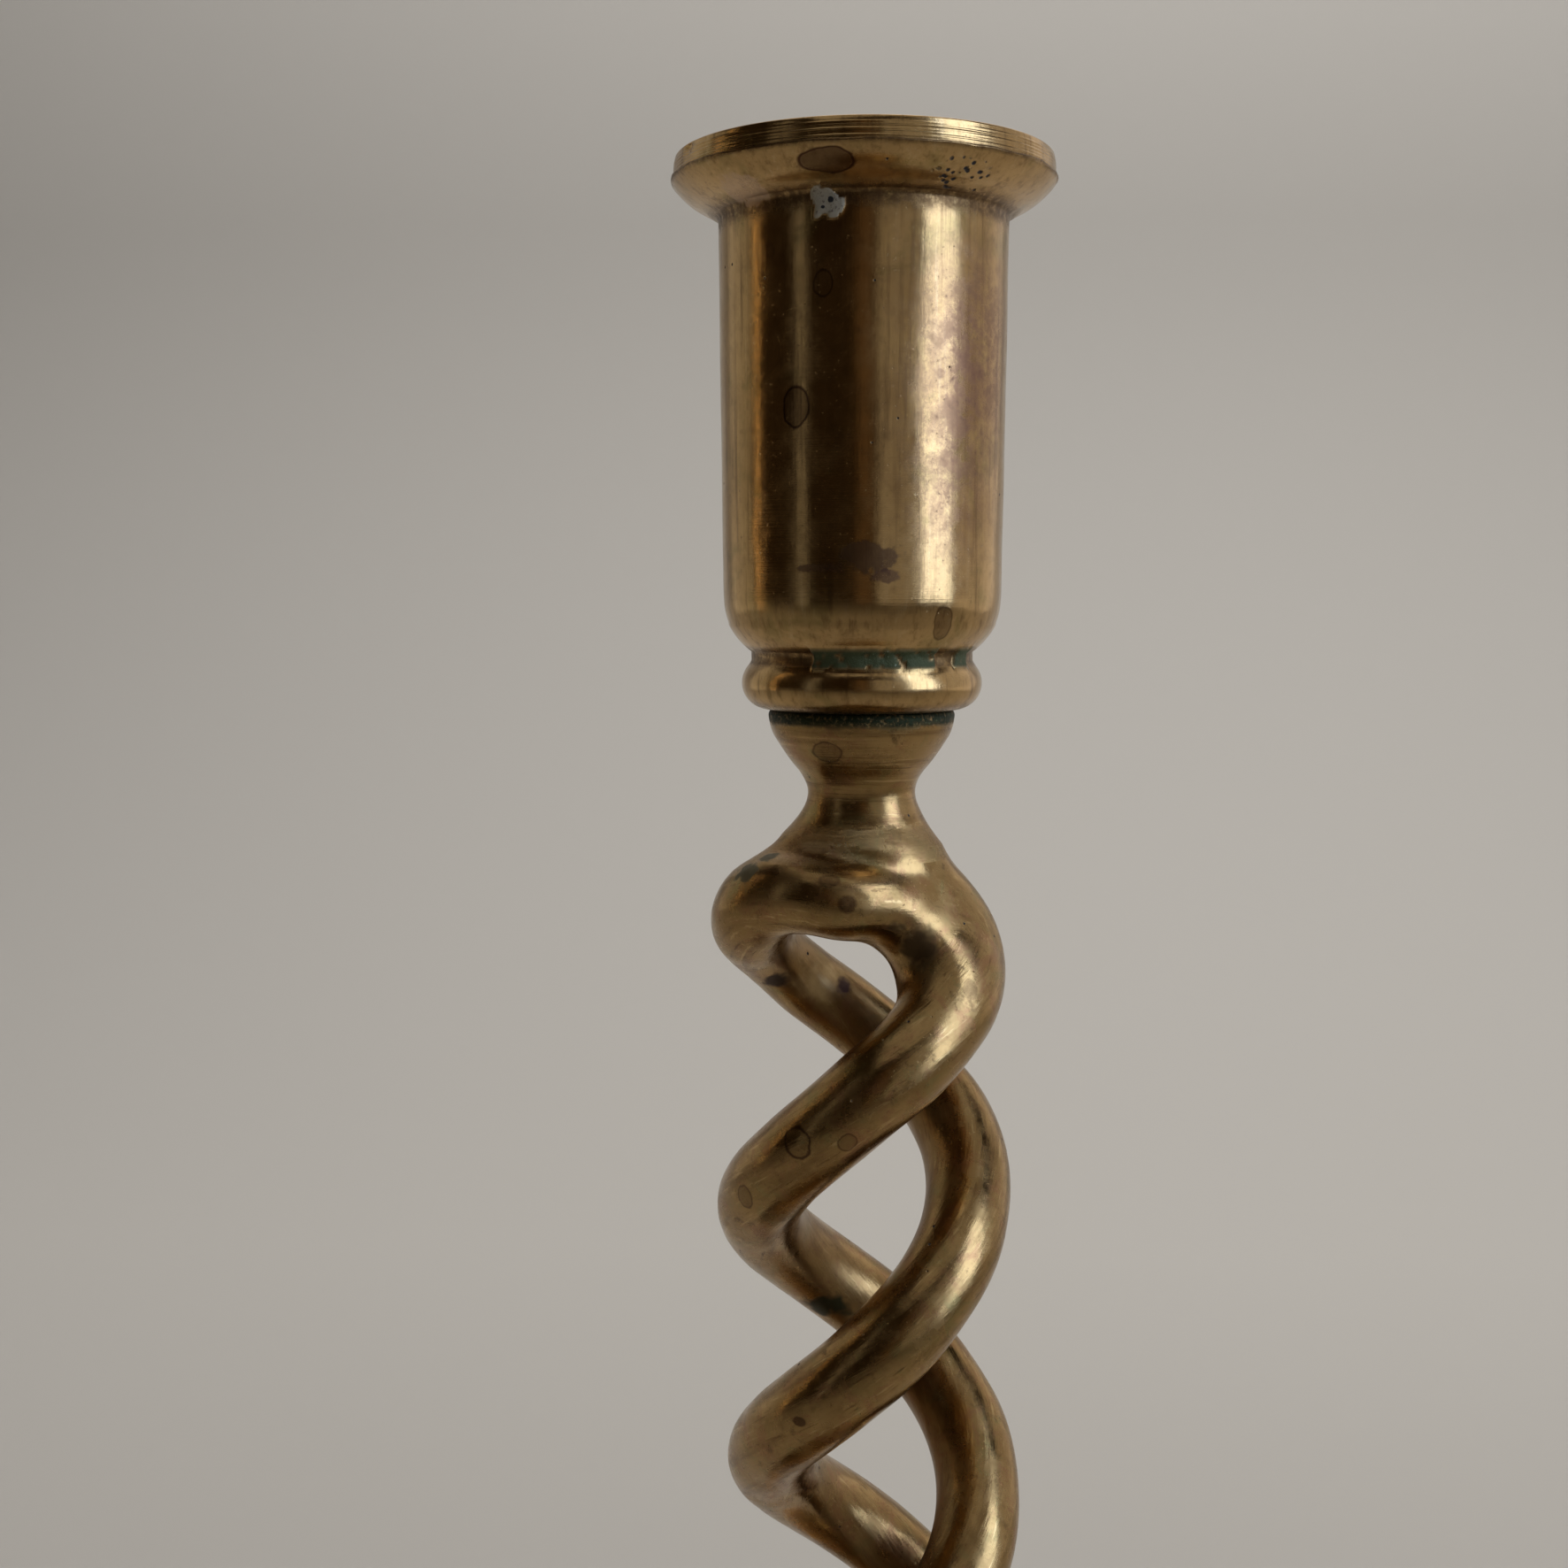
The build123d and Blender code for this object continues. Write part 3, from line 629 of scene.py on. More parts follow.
def end_gap(points, face, way, swing):
    """Distance of points from one turned end, whose neck opens out towards the limbs.

    It goes down from its face with way -1 and up with +1, and swing is how far it is turned.
    """
    depth = (points[:, 2] - face) * way
    level = (points[:, 0] + 1j * points[:, 1]) * np.conj(swing)
    back = np.maximum(-way * level.imag, 0)
    tilt = neck_tilt * level.real * ease(depth, 9.0, 12.0)
    reach = np.clip(depth - tilt, 0.0, 15.3)
    skin = smooth_through(collar_depths, collar_radii, reach)
    slope = (smooth_through(collar_depths, collar_radii, reach + 0.1) - skin) / 0.1
    radius = np.hypot(points[:, 0], points[:, 1]) + 0.3 * back * ease(depth, 9.5, 13.5)
    side = (radius - skin) / np.sqrt(1 + slope**2)
    bottom = np.hypot(np.maximum(radius - 1.0, 0), np.maximum(depth - neck_end, 0)) - neck_end_radius
    return np.maximum(np.where(depth > neck_end, np.maximum(side, bottom), side), -depth)


def stem_gap(points):
    """Distance of points from the whole stem's skin."""
    right, left = strand_gap(points, strands[0])[0], strand_gap(points, strands[1])[0]
    upper = points[:, 2] > (stem_top + stem_foot) / 2
    ends = np.where(upper, end_gap(points, stem_top, -1, 1.0), end_gap(points, stem_foot, 1, foot_swing))
    for line, here in zip(shoulders, (upper, ~upper)):
        ends[here] = blend_in(ends[here], strand_gap(points[here], line)[0], shoulder_fillet)
    gap = blend_in(np.where(upper, right, left), ends, limb_fillet)
    gap = blend_in(gap, np.where(upper, left, right), crossing_fillet)
    for line, here in zip(crotches, (upper, ~upper)):
        gap[here] = blend_in(gap[here], strand_gap(points[here], line)[0], crotch_fillet)
    inward = np.clip(np.minimum(stem_top - points[:, 2], points[:, 2] - stem_foot) / 12 - 0.6, 0, 1)
    uneven = waves(points, 14.0, 21) * 0.10 + waves(points, 6.0, 22) * 0.02 + waves(points, 2.4, 23) * 0.004
    return np.maximum(gap + inward * uneven, np.maximum(points[:, 2] - stem_top, stem_foot - points[:, 2]))


def slope_of(gap_of, points):
    """Distance at points, and its direction outward."""
    corners = np.array([[1, 1, 1], [1, -1, -1], [-1, 1, -1], [-1, -1, 1]], float)
    ways = sum(corner * gap_of(points + corner * 0.02)[:, None] for corner in corners)
    size = np.linalg.norm(ways, axis=1)
    return gap_of(points) / np.maximum(size / 0.08, 0.5), ways / np.maximum(size, 1e-9)[:, None]


def skin_of(gap_of, low, high, grain):
    """Points and quads of the surface where a distance is zero."""
    counts = [2 * math.ceil((h - l) / grain / 2) + 1 for l, h in zip(low, high)]
    axes = [l + np.arange(n) * grain for l, n in zip(low, counts)]
    grid = np.stack(np.meshgrid(*[a[::2] for a in axes], indexing="ij"), -1)
    wide = gap_of(grid.reshape(-1, 3)).reshape(grid.shape[:3])
    for axis in range(3):
        wide = np.repeat(wide, 2, axis=axis)
    field = wide[:counts[0], :counts[1], :counts[2]].copy()
    close = np.argwhere(np.abs(field) < grain * 2.4)
    field[tuple(close.T)] = gap_of(np.stack([axes[i][close[:, i]] for i in range(3)], -1))
    inside = field < 0
    total = np.zeros([n - 1 for n in counts])
    place = np.zeros(total.shape + (3,))
    for axis in range(3):
        first = [slice(None)] * 3
        second = [slice(None)] * 3
        first[axis], second[axis] = slice(0, -1), slice(1, None)
        a, b = field[tuple(first)], field[tuple(second)]
        cross = (a < 0) != (b < 0)
        share = np.where(cross, a / np.where(cross, a - b, 1), 0)
        u, v = [i for i in range(3) if i != axis]
        for du in (0, 1):
            for dv in (0, 1):
                cut = [slice(None)] * 3
                cut[u], cut[v] = slice(du, counts[u] - 1 + du), slice(dv, counts[v] - 1 + dv)
                here = cross[tuple(cut)]
                total += here
                place[..., axis] += np.where(here, share[tuple(cut)], 0)
                place[..., u] += here * du
                place[..., v] += here * dv
    used = total > 0
    number = np.full(total.shape, -1)
    number[used] = np.arange(used.sum())
    points = np.array(low) + (np.argwhere(used) + place[used] / total[used][:, None]) * grain
    quads = []
    for axis, (u, v) in enumerate(((1, 2), (2, 0), (0, 1))):
        first = [slice(1, -1)] * 3
        second = [slice(1, -1)] * 3
        first[axis], second[axis] = slice(0, -1), slice(1, None)
        a, b = inside[tuple(first)], inside[tuple(second)]
        spots = np.argwhere(a != b)
        leaving = a[tuple(spots.T)]
        corners = []
        for du, dv in ((0, 0), (1, 0), (1, 1), (0, 1)):
            at = spots.copy()
            at[:, u] += du
            at[:, v] += dv
            corners.append(number[tuple(at.T)])
        quad = np.stack(corners, -1)
        quad[~leaving] = quad[~leaving][:, ::-1]
        quads.append(quad)
    gap, normals = slope_of(gap_of, points)
    points -= normals * np.clip(gap, -grain, grain)[:, None]
    points -= normals * np.clip(gap_of(points), -grain, grain)[:, None]
    return points, np.vstack(quads).tolist(), normals


points, quads, normals = skin_of(stem_gap, *stem_box, stem_grain)
gaps = [strand_gap(points, line) for line in strands]
on_left = gaps[1][0] < gaps[0][0]
one_strand = ease(np.abs(gaps[1][0] - gaps[0][0]), 0.3, 2.2)
grain_way = np.zeros_like(points)
for number, line in enumerate(strands):
    mine = on_left if number else ~on_left
    at = np.clip(gaps[number][1][mine], 0, len(line) - 1.001)
    i, t = at.astype(int), (at % 1)[:, None]
    centre = line[i, :3] * (1 - t) + line[i + 1, :3] * t
    onward = line[i + 1, :3] - line[i, :3]
    onward /= np.linalg.norm(onward, axis=1, keepdims=True)
    out = centre * [1, 1, 0]
    out /= np.maximum(np.linalg.norm(out, axis=1, keepdims=True), 1.0)
    offset = points[mine] - centre
    sideways = (offset * np.cross(onward, out)).sum(1)
    grain_way[mine] = np.stack([at * 0.5 * 0.14 + 60 * number, (offset * out).sum(1), sideways], -1)
to_neck = np.minimum(stem_top - points[:, 2], points[:, 2] - stem_foot)
turned_part = ease(to_neck, 14.5, 11.0)
lathe_way = np.stack([points[:, 0] * 0.05, points[:, 1] * 0.05, points[:, 2] * 1.6], -1)
grain_way += (lathe_way - grain_way) * turned_part[:, None]
filed = waves(grain_way, 2.6, 31) * 0.014 + waves(grain_way, 1.3, 32) * 0.005
filed *= (1 - turned_part) * one_strand
for bend_height, bend_right, deep in (
    (181.0, -6.6, 0.16), (154.2, -5.8, 0.16), (125.5, -4.6, 0.16), (168.0, 6.3, 0.07), (139.0, 7.3, 0.07),
):
    far = (points[:, 2] - bend_height) ** 2 + (points[:, 0] - bend_right) ** 2 + points[:, 1] ** 2
    folds = np.clip(np.sin(points[:, 2] * 3.1 + points[:, 1] * 1.2 + bend_height), 0, 1) ** 2
    filed -= deep * np.exp(-far / 14.0) * folds
for place, width, high in (((-11.2, -5.9, 187.2), 1.3, 0.22), ((-9.0, -5.4, 188.6), 1.1, 0.18)):
    filed -= knock(points, place, width, -high)
points += normals * (filed * ease(to_neck, 0.1, 2.0))[:, None]
stem = fit_piece("twisted_stem", points, quads, "twist_stem")
lay = stem.data.attributes.new("grain_way", "FLOAT_VECTOR", "POINT")
lay.data.foreach_set("vector", grain_way.astype(np.float32).ravel())
paint(stem, "one_strand", np.maximum(one_strand, turned_part))
hollow = ease(-(points * [1, 1, 0] * normals).sum(1) / 10, -0.1, 0.7)
paint(stem, "inner_side", hollow * (1 - turned_part))
joint_line = ease(to_neck, 1.35, 1.05)
joint_line += 0.6 * ease(to_neck, 1.9, 1.2) * ease(waves(points, 3.0, 33), 0.1, 0.6)
paint(stem, "verdigris", joint_line)

stem_finish = aged_brass("stem_aged_brass", gloss=0.215, film=0.7, mottle=0.55)
stem_finish.coat(0.55, warm_film)
blush = stem_finish.clouds(3.7, 8.0, 0.74, bend=0.7)
stem_finish.coat(stem_finish.fade(blush, 0.51, 0.62, 0.0, 0.5), copper_blush, rough=0.3)
stem_finish.coat(stem_finish.fade(blush, 0.45, 0.36, 0.0, 0.5), olive_film, rough=0.27)
smudge = stem_finish.clouds(2.1, 8.0, 0.78, bend=0.4)
stem_finish.coat(stem_finish.fade(smudge, 0.56, 0.68, 0.0, 0.6), smudge_brown, rough=0.36)
lengthwise = stem_finish.nodes.new("ShaderNodeAttribute")
lengthwise.attribute_name = "grain_way"
one_way = stem_finish.patch("one_strand")


def along_strands(size, detail, roughness):
    """Marks that run along the strands and fade out where one strand meets the other."""
    marks = stem_finish.clouds(size, detail, roughness, place=lengthwise.outputs["Vector"])
    return stem_finish.sum("ADD", stem_finish.times(stem_finish.sum("SUBTRACT", marks, 0.5), one_way), 0.5)


strokes = along_strands(0.55, 4.0, 0.65)
streaks = along_strands(1.6, 5.0, 0.6)
stem_finish.coat(stem_finish.fade(streaks, 0.5, 0.68, 0.0, 0.55), streak_brown)
stem_finish.coat(stem_finish.fade(strokes, 0.57, 0.7, 0.0, 0.5), polished_stroke, rough=0.16)
stem_finish.coat(stem_finish.fade(strokes, 0.4, 0.29, 0.0, 0.6), dark_stroke, rough=0.34)
inner_side = stem_finish.fade(stem_finish.patch("inner_side"), 0.3, 1.0, 0.0, 0.5)
stem_finish.coat(inner_side, inner_brown, rough=0.4)
for centre, size, film, line in (
    ((-3.2, -7.2, 198.5), (1.3, 1.5, 1.1), 0.35, 0.75), ((-2.8, -10.6, 187.0), (1.4, 1.5, 1.0), 0.5, 0.6),
    ((-1.2, -10.4, 184.6), (0.9, 1.2, 0.8), 0.75, 0.5), ((-5.6, -13.4, 162.7), (1.35, 1.3, 1.4), 0.15, 0.9),
    ((-1.1, -14.9, 163.0), (0.95, 1.2, 0.9), 0.3, 0.7), ((-11.0, -9.7, 156.0), (0.9, 1.2, 1.3), 0.35, 0.7),
    ((10.2, -8.3, 176.0), (0.8, 1.0, 1.1), 0.5, 0.4), ((-5.6, -13.9, 135.9), (0.8, 1.0, 0.5), 0.8, 0.3),
    ((9.0, 10.5, 150.0), (1.4, 1.2, 1.3), 0.4, 0.7), ((-12.5, 6.0, 120.0), (1.2, 1.4, 1.2), 0.4, 0.7),
    ((4.0, -13.0, 104.0), (1.3, 1.2, 1.1), 0.3, 0.8), ((12.0, -7.0, 84.0), (1.2, 1.2, 1.5), 0.4, 0.7),
):
    stem_finish.ring_stain(centre, size, film, line)
# Painted highlight: a bright, glossy patch on the back strand that stands in for a reflection of the light.
stem_finish.spot((-4.4, 6.5, 173.6), (2.6, 2.8, 1.8), painted_highlight_brass, 0.85, (1.5, 0.2), 0.3, 1.6, rough=0.3)
for centre, size, tint in (
    ((5.6, -6.6, 180.0), (2.1, 3.2, 2.3), (0.045, 0.025, 0.012)),
    ((3.2, -6.9, 182.2), (1.5, 2.4, 1.1), (0.06, 0.034, 0.016)),
    ((-8.4, 3.4, 174.3), (1.5, 2.0, 1.3), (0.02, 0.012, 0.012)),
    ((-1.5, 6.9, 173.0), (0.9, 1.2, 1.2), (0.04, 0.02, 0.03)),
    ((-3.4, 4.3, 139.3), (3.2, 3.0, 1.7), (0.012, 0.028, 0.018)),
    ((-6.0, -1.5, 178.8), (1.4, 2.2, 1.6), (0.09, 0.035, 0.02)),
    ((4.2, 9.2, 121.0), (2.0, 2.0, 1.6), (0.03, 0.03, 0.015)),
    ((-7.0, -3.0, 92.0), (2.0, 2.6, 2.0), (0.05, 0.03, 0.015)),
):
    stem_finish.spot(centre, size, tint, 0.85, (1.15, 0.55), 0.4, 1.8, rough=0.5)
for centre, size in (((-11.2, -5.9, 187.3), (1.9, 1.6, 1.6)), ((-9.0, -5.3, 188.8), (1.6, 1.4, 1.1))):
    stem_finish.spot(centre, size, shoulder_green, 0.8, (1.05, 0.7), grain=0.9, rough=0.6, metal=0.3)
stem_grit = stem_finish.clouds(0.5, 5.0, 0.7)
in_joint = stem_finish.times(stem_finish.patch("verdigris"), stem_finish.fade(stem_grit, 0.25, 0.5))
stem_finish.coat(in_joint, joint_crust, rough=0.55, metal=0.8)
stem_finish.coat(stem_finish.times(in_joint, stem_finish.fade(stem_grit, 0.62, 0.7)), joint_crumbs)
stem_finish.relief += [(strokes, 0.03), (streaks, 0.03), (stem_finish.times(in_joint, stem_grit), 0.1)]
stem_finish.pits(2.2, 0.2, share=0.44)
stem.data.materials.append(stem_finish.done())

# A short stud, cut from brass threaded rod, is screwed into the stem's collar, and the cup is screwed
# down on it. It is hidden in both.
cup_stud = threaded_stud("cup_joining_stud", 195.65, 210.75, "cup_stud")
cup_stud.data.materials.append(aged_brass("stud_plain_brass", gloss=0.25, film=0.3, mottle=0.2).done())

# The candle cup is turned from one brass bar: a flared rim with a ribbed band, a straight barrel, a
# rounded bottom, a groove and a bead. It is bored for the candle and tapped for the stud. It is
# polished, with tarnish at the right, dried drops, pits and a verdigris crust in the groove.
cup_sides = 448
cup_top = 254.0
thread_hole_top, bore_bottom = 211.35, 214.42
bore_edge, barrel_edge = 11.1, 13.75
wiped_brown = (0.15, 0.08, 0.03)
wiped_bright = (0.60, 0.42, 0.21)
tarnish_red = (0.25, 0.13, 0.08)
tarnish_dark = (0.085, 0.04, 0.035)
haze_brown = (0.20, 0.125, 0.055)
# Colour of the painted shade under the rim, in the groove and under the bead.
painted_shade_brown = (0.085, 0.045, 0.02)
groove_crust = (0.062, 0.072, 0.026)
groove_crumbs = (0.30, 0.33, 0.22)
chalky_wax = (0.36, 0.31, 0.215)
wax_shade = (0.17, 0.13, 0.09)
burnt_black = (0.012, 0.01, 0.01)
bore_soot = (0.10, 0.062, 0.032)

cup_outline = np.vstack([
    turning(
        (0.05, thread_hole_top), (stud_hole, thread_hole_top), (stud_hole, 202.8), (3.5, stem_top),
        (9.35, stem_top), ((11.62, 204.35), (11.33, 205.95)), (11.25, 206.1), (10.78, 206.75), (10.7, 207.0),
        (10.7, 207.75), ((11.9, 208.85), (12.9, 210.3)), ((13.3, 211.35), (13.43, 212.6)),
        (barrel_edge, 248.15), ((13.85, 248.55), (14.2, 248.83)), (15.2, 249.46),
        ((17.2, 250.7), (18.2, 251.8)), (18.24, 251.92), (18.02, 251.98), spacing=0.42),
    turning((18.06, 252.1), (17.97, 253.55), spacing=0.07),
    turning(
        (17.88, 253.8), ((17.8, 253.94), (17.55, cup_top)), (12.1, cup_top),
        ((11.4, 253.8), (bore_edge, 253.2)), (bore_edge, 216.3), (10.9, 216.0), (0.05, bore_bottom),
        spacing=0.55),
])
rounding = (cup_outline[:, 1] > 210.4) & (cup_outline[:, 1] < 215.5) & (cup_outline[:, 0] > 12.0)
cup_outline[rounding] = soften(cup_outline, 14)[rounding]
cup = turned_points(cup_outline, cup_sides)
cup_turn = np.degrees(np.arctan2(cup[..., 1], cup[..., 0])) % 360
cup_height, cup_radius = cup[..., 2], np.linalg.norm(cup[..., :2], axis=-1)
outside = ease(cup_height, 202.6, 203.6) * (cup_radius > 9.5) * (1 - ease(cup_height, 253.7, 253.95))
outside = np.where((cup_radius < 11.2) & (cup_height > 214.0), 0, outside)
uneven = waves(cup, 14.0, 3) * 0.035 + waves(cup * [1, 1, 0.35], 5.0, 4) * 0.012 + waves(cup, 2.2, 5) * 0.003
for centre, width, depth in (
    ((-16.0, -8.3, 253.9), 1.1, 0.40), ((7.0, -11.8, 232.0), 3.0, 0.05), ((12.2, -6.2, 224.0), 2.4, 0.05),
    ((-9.0, -10.2, 219.0), 2.0, 0.05), ((2.0, 13.5, 236.0), 3.0, 0.07), ((-13.2, 2.0, 228.0), 2.2, 0.06),
    ((13.0, 12.6, 252.6), 1.3, 0.25), ((-3.0, 18.0, 253.5), 1.0, 0.2),
):
    uneven -= knock(cup, centre, width, depth)
band = ease(cup_height, 252.0, 252.15) * (1 - ease(cup_height, 253.6, 253.8)) * (cup_radius > 17.4)
ribs = np.sin(cup_height * 22.0 + 0.4 * waves(cup, 9.0, 12))
ribs += 0.5 * np.sin(cup_height * 13.0 + 2.0 + waves(cup, 7.0, 13))
uneven += band * (ribs * 0.028 - 0.03)
lip = np.exp(-((cup_height - 251.9) / 0.22) ** 2) * (cup_radius > 17.6)
cup_height += lip * (0.13 * waves(cup, 6.0, 8) + 0.06 * waves(cup, 2.0, 9))
lump = 0.5 + 0.5 * waves(cup, 1.1, 11)
in_groove = ease(cup_height, 206.3, 206.7) * (1 - ease(cup_height, 208.0, 208.5))
in_groove *= (cup_radius < 12.3) * (cup_radius > 9.5)
ragged = waves(cup, 2.5, 14) * 1.6
crusted = ease(cup_turn + ragged, 245.0, 246.5) * (1 - ease(cup_turn + ragged, 308.5, 310.5))
crusted += ease(cup_turn + ragged, 321.0, 323.0) * (1 - ease(cup_turn - ragged, 334.0, 337.0))
crusted = in_groove * np.clip(crusted, 0, 1)
uneven += crusted * (0.22 + 0.14 * lump)
deposit_gap = np.linalg.norm(cup - [-3.05, -13.4, 247.5], axis=-1) + 0.5 * waves(cup, 1.4, 15)
deposit = ease(deposit_gap, 1.5, 1.2)
uneven += deposit * (0.08 + 0.06 * lump)
push_out(cup, uneven * outside)
cup_faces = turned_faces(len(cup), cup_sides, False)
candle_cup = fit_piece("candle_socket_cup", cup, cup_faces, "candle_cup")
paint(candle_cup, "verdigris", crusted * ease(lump, 0.05, 0.3))
paint(candle_cup, "deposit", deposit)
in_bore = (cup_radius < 11.3) * (cup_height > 213.5)
paint(candle_cup, "bore", in_bore * 1.0)
tarnish = np.exp(-(((cup_turn - 318) / 28) ** 2) - ((cup_height - 235) / 10) ** 2)
tarnish += 0.6 * np.exp(-(((cup_turn - 306) / 20) ** 2) - ((cup_height - 222) / 7) ** 2)
tarnish += 0.8 * np.exp(-(((cup_turn - 100) / 40) ** 2) - ((cup_height - 226) / 9) ** 2)
paint(candle_cup, "tarnish", tarnish * ease(cup_height, 212.0, 214.0) * (1 - in_bore))
# Painted shade: a darker band under the flare and along the ribbed band's lower edge, in the groove and under
# the bead.
under_rim = ease(cup_height, 246.6, 247.9) * ease(cup_height, 249.6, 248.6) * (1 - in_bore) + lip
under_bead = ease(cup_height, 203.4, 202.6)
paint(candle_cup, "painted_shade", (under_rim + in_groove * 0.9 + 0.7 * under_bead) * (1 - in_bore))

cup_finish = aged_brass("cup_aged_brass", gloss=0.15, film=0.4, mottle=0.25)
wiped = cup_finish.clouds(0.9, 6.0, 0.66, stretch=(1.0, 1.0, 0.045))
cup_finish.coat(cup_finish.fade(wiped, 0.5, 0.7, 0.0, 0.6), wiped_brown, rough=0.26)
cup_finish.coat(cup_finish.fade(wiped, 0.46, 0.3, 0.0, 0.5), wiped_bright, rough=0.14)
haze = cup_finish.clouds(2.4, 8.0, 0.78)
flecks = cup_finish.clouds(0.8, 5.0, 0.7)
tarnished = cup_finish.patch("tarnish")
cup_finish.coat(cup_finish.times(tarnished, cup_finish.fade(haze, 0.3, 0.62)), tarnish_red, rough=0.36)
dark_flecks = cup_finish.fade(flecks, 0.5, 0.75, 0.0, 0.6)
cup_finish.coat(cup_finish.times(tarnished, dark_flecks), tarnish_dark, rough=0.42)
cup_finish.coat(cup_finish.fade(haze, 0.48, 0.75, 0.0, 0.45), haze_brown, rough=0.3)
# Painted shade under the rim, in the groove and under the bead, broken up by grainy flecks.
painted_shade_flecks = cup_finish.fade(flecks, 0.3, 0.6, 0.4, 0.9)
cup_finish.coat(cup_finish.times(cup_finish.patch("painted_shade"), painted_shade_flecks), painted_shade_brown, rough=0.4)
for centre, size, film, line in (
    ((-3.1, -16.7, 250.5), (2.5, 2.0, 0.95), 0.75, 1.0), ((-8.4, -10.9, 243.9), (0.42, 0.6, 0.6), 0.3, 0.9),
    ((-3.5, -13.2, 240.7), (0.85, 1.5, 1.25), 0.12, 0.7),
    ((-5.95, -12.2, 230.0), (1.15, 1.4, 1.8), 0.5, 0.95),
    ((7.4, -10.8, 210.6), (0.95, 1.2, 1.7), 0.5, 0.7), ((-9.6, 9.0, 238.0), (1.2, 1.2, 1.6), 0.4, 0.8),
    ((5.0, 12.5, 221.0), (1.5, 1.2, 1.2), 0.3, 0.8), ((12.8, 4.0, 243.0), (1.0, 1.0, 0.8), 0.5, 0.7),
    ((-13.0, 3.0, 216.0), (1.2, 1.4, 0.9), 0.4, 0.8),
):
    cup_finish.ring_stain(centre, size, film, line)
for centre, size, tint, most in (
    ((0.6, -13.4, 216.6), (3.0, 2.5, 1.5), (0.085, 0.05, 0.045), 0.65),
    ((-3.6, -13.1, 215.7), (2.6, 2.0, 0.45), (0.11, 0.055, 0.045), 0.6),
    ((2.2, -13.2, 215.0), (1.3, 2.0, 0.6), (0.09, 0.045, 0.05), 0.6),
    ((-10.6, -10.6, 249.3), (2.6, 2.6, 1.6), (0.50, 0.34, 0.22), 0.5),
):
    cup_finish.spot(centre, size, tint, most, rough=0.33)
lathe_marks(cup_finish, 0.006)
cluster = cup_finish.fade(cup_finish.near((8.8, -13.4, 249.9), (2.6, 3.6, 1.7), 0.3, 1.4), 1.1, 0.8)
cup_finish.pits(0.6, 0.27, share=0.52, within=cluster)
cup_finish.pits(2.6, 0.15, share=0.44)
cup_grit = cup_finish.clouds(0.45, 5.0, 0.7)
in_crust = cup_finish.patch("verdigris")
cup_finish.coat(in_crust, groove_crust, rough=0.6, metal=0.5)
cup_finish.coat(cup_finish.times(in_crust, cup_finish.fade(cup_grit, 0.62, 0.72)), groove_crumbs)
chalk = cup_finish.patch("deposit")
cup_finish.coat(cup_finish.fade(chalk, 0.25, 0.7), chalky_wax, rough=0.85, metal=0.0)
cup_finish.coat(cup_finish.times(chalk, cup_finish.fade(cup_grit, 0.56, 0.64)), wax_shade)
for centre, size in (((-2.9, -13.5, 247.8), (0.28, 0.6, 0.28)), ((-3.6, -13.3, 247.2), (0.2, 0.6, 0.16))):
    cup_finish.spot(centre, size, burnt_black, 1.0, (1.1, 0.8), 0.2, 0.4)
cup_finish.coat(cup_finish.times(cup_finish.patch("bore"), 0.75), bore_soot, rough=0.5)
cup_finish.relief += [
    (haze, 0.012), (wiped, 0.008),
    (cup_finish.times(in_crust, cup_grit), 0.12), (cup_finish.times(chalk, cup_grit), 0.15),
]
candle_cup.data.materials.append(cup_finish.done())

# Floor and backdrop are one pale, matt sheet of paper, laid flat in front and curved up behind the
# holder without a seam.
sheet_half_width, sheet_front, sheet_back, sheet_bend, sheet_top = 2.6, -2.0, 0.8, 0.4, 2.4
paper_grey = (0.60, 0.585, 0.56, 1)
bend_turns = np.linspace(0, math.pi / 2, 24)
bend_backs = sheet_back - sheet_bend * (1 - np.sin(bend_turns))
bend_highs = sheet_bend * (1 - np.cos(bend_turns))
sheet_line = [(sheet_front, 0.0), *zip(bend_backs, bend_highs), (sheet_back, sheet_top)]
sheet_mesh = bpy.data.meshes.new("studio_sheet")
sheet_mesh.from_pydata(
    [(side * sheet_half_width, back, high) for back, high in sheet_line for side in (-1, 1)], [],
    [(2 * i, 2 * i + 1, 2 * i + 3, 2 * i + 2) for i in range(len(sheet_line) - 1)])
sheet_mesh.update()
sheet_mesh.shade_smooth()
studio_sheet = put_in_scene("studio_sheet", sheet_mesh)
paper = bpy.data.materials.new("pale_paper")
paper.use_nodes = True
paper.node_tree.nodes["Principled BSDF"].inputs["Base Color"].default_value = paper_grey
paper.node_tree.nodes["Principled BSDF"].inputs["Roughness"].default_value = 0.9
sheet_mesh.materials.append(paper)

# A large cool soft box stands at the right like a window. Dimmer ones stand round the holder and above
# it, so that the brass mirrors a plain room, and narrow ones at the left draw thin bright lines in it.
# All these light only the holder. The sheet has a lamp of its own.
room_brown = (0.024, 0.016, 0.009, 1)
above_size, above_glow = 1.1, 0.34
sheet_watts, sheet_lamp_tilt = 18.5, 52
room = bpy.data.worlds.new("studio_room")
bpy.context.scene.world = room
room.use_nodes = True
room.node_tree.nodes["Background"].inputs["Color"].default_value = room_brown
room.node_tree.nodes["Background"].inputs["Strength"].default_value = 1.0


def soft_box(name, left, right, low, high, distance, glow, colour):
    """Soft box between two turns round the holder, counted in degrees to the right of the camera."""
    lamp = bpy.data.lights.new(name, "AREA")
    lamp.shape = "RECTANGLE"
    lamp.size = 2 * distance * math.tan(math.radians(right - left) / 2)
    lamp.size_y = high - low
    lamp.energy = glow * math.pi * lamp.size * lamp.size_y
    lamp.color = colour
    box = put_in_scene(name, lamp)
    turn = math.radians((left + right) / 2)
    box.location = (distance * math.sin(turn), -distance * math.cos(turn), (low + high) / 2)
    aim = Vector((0, 0, box.location.z)) - box.location
    box.rotation_euler = aim.to_track_quat("-Z", "Y").to_euler()
    soft_boxes.append(box)


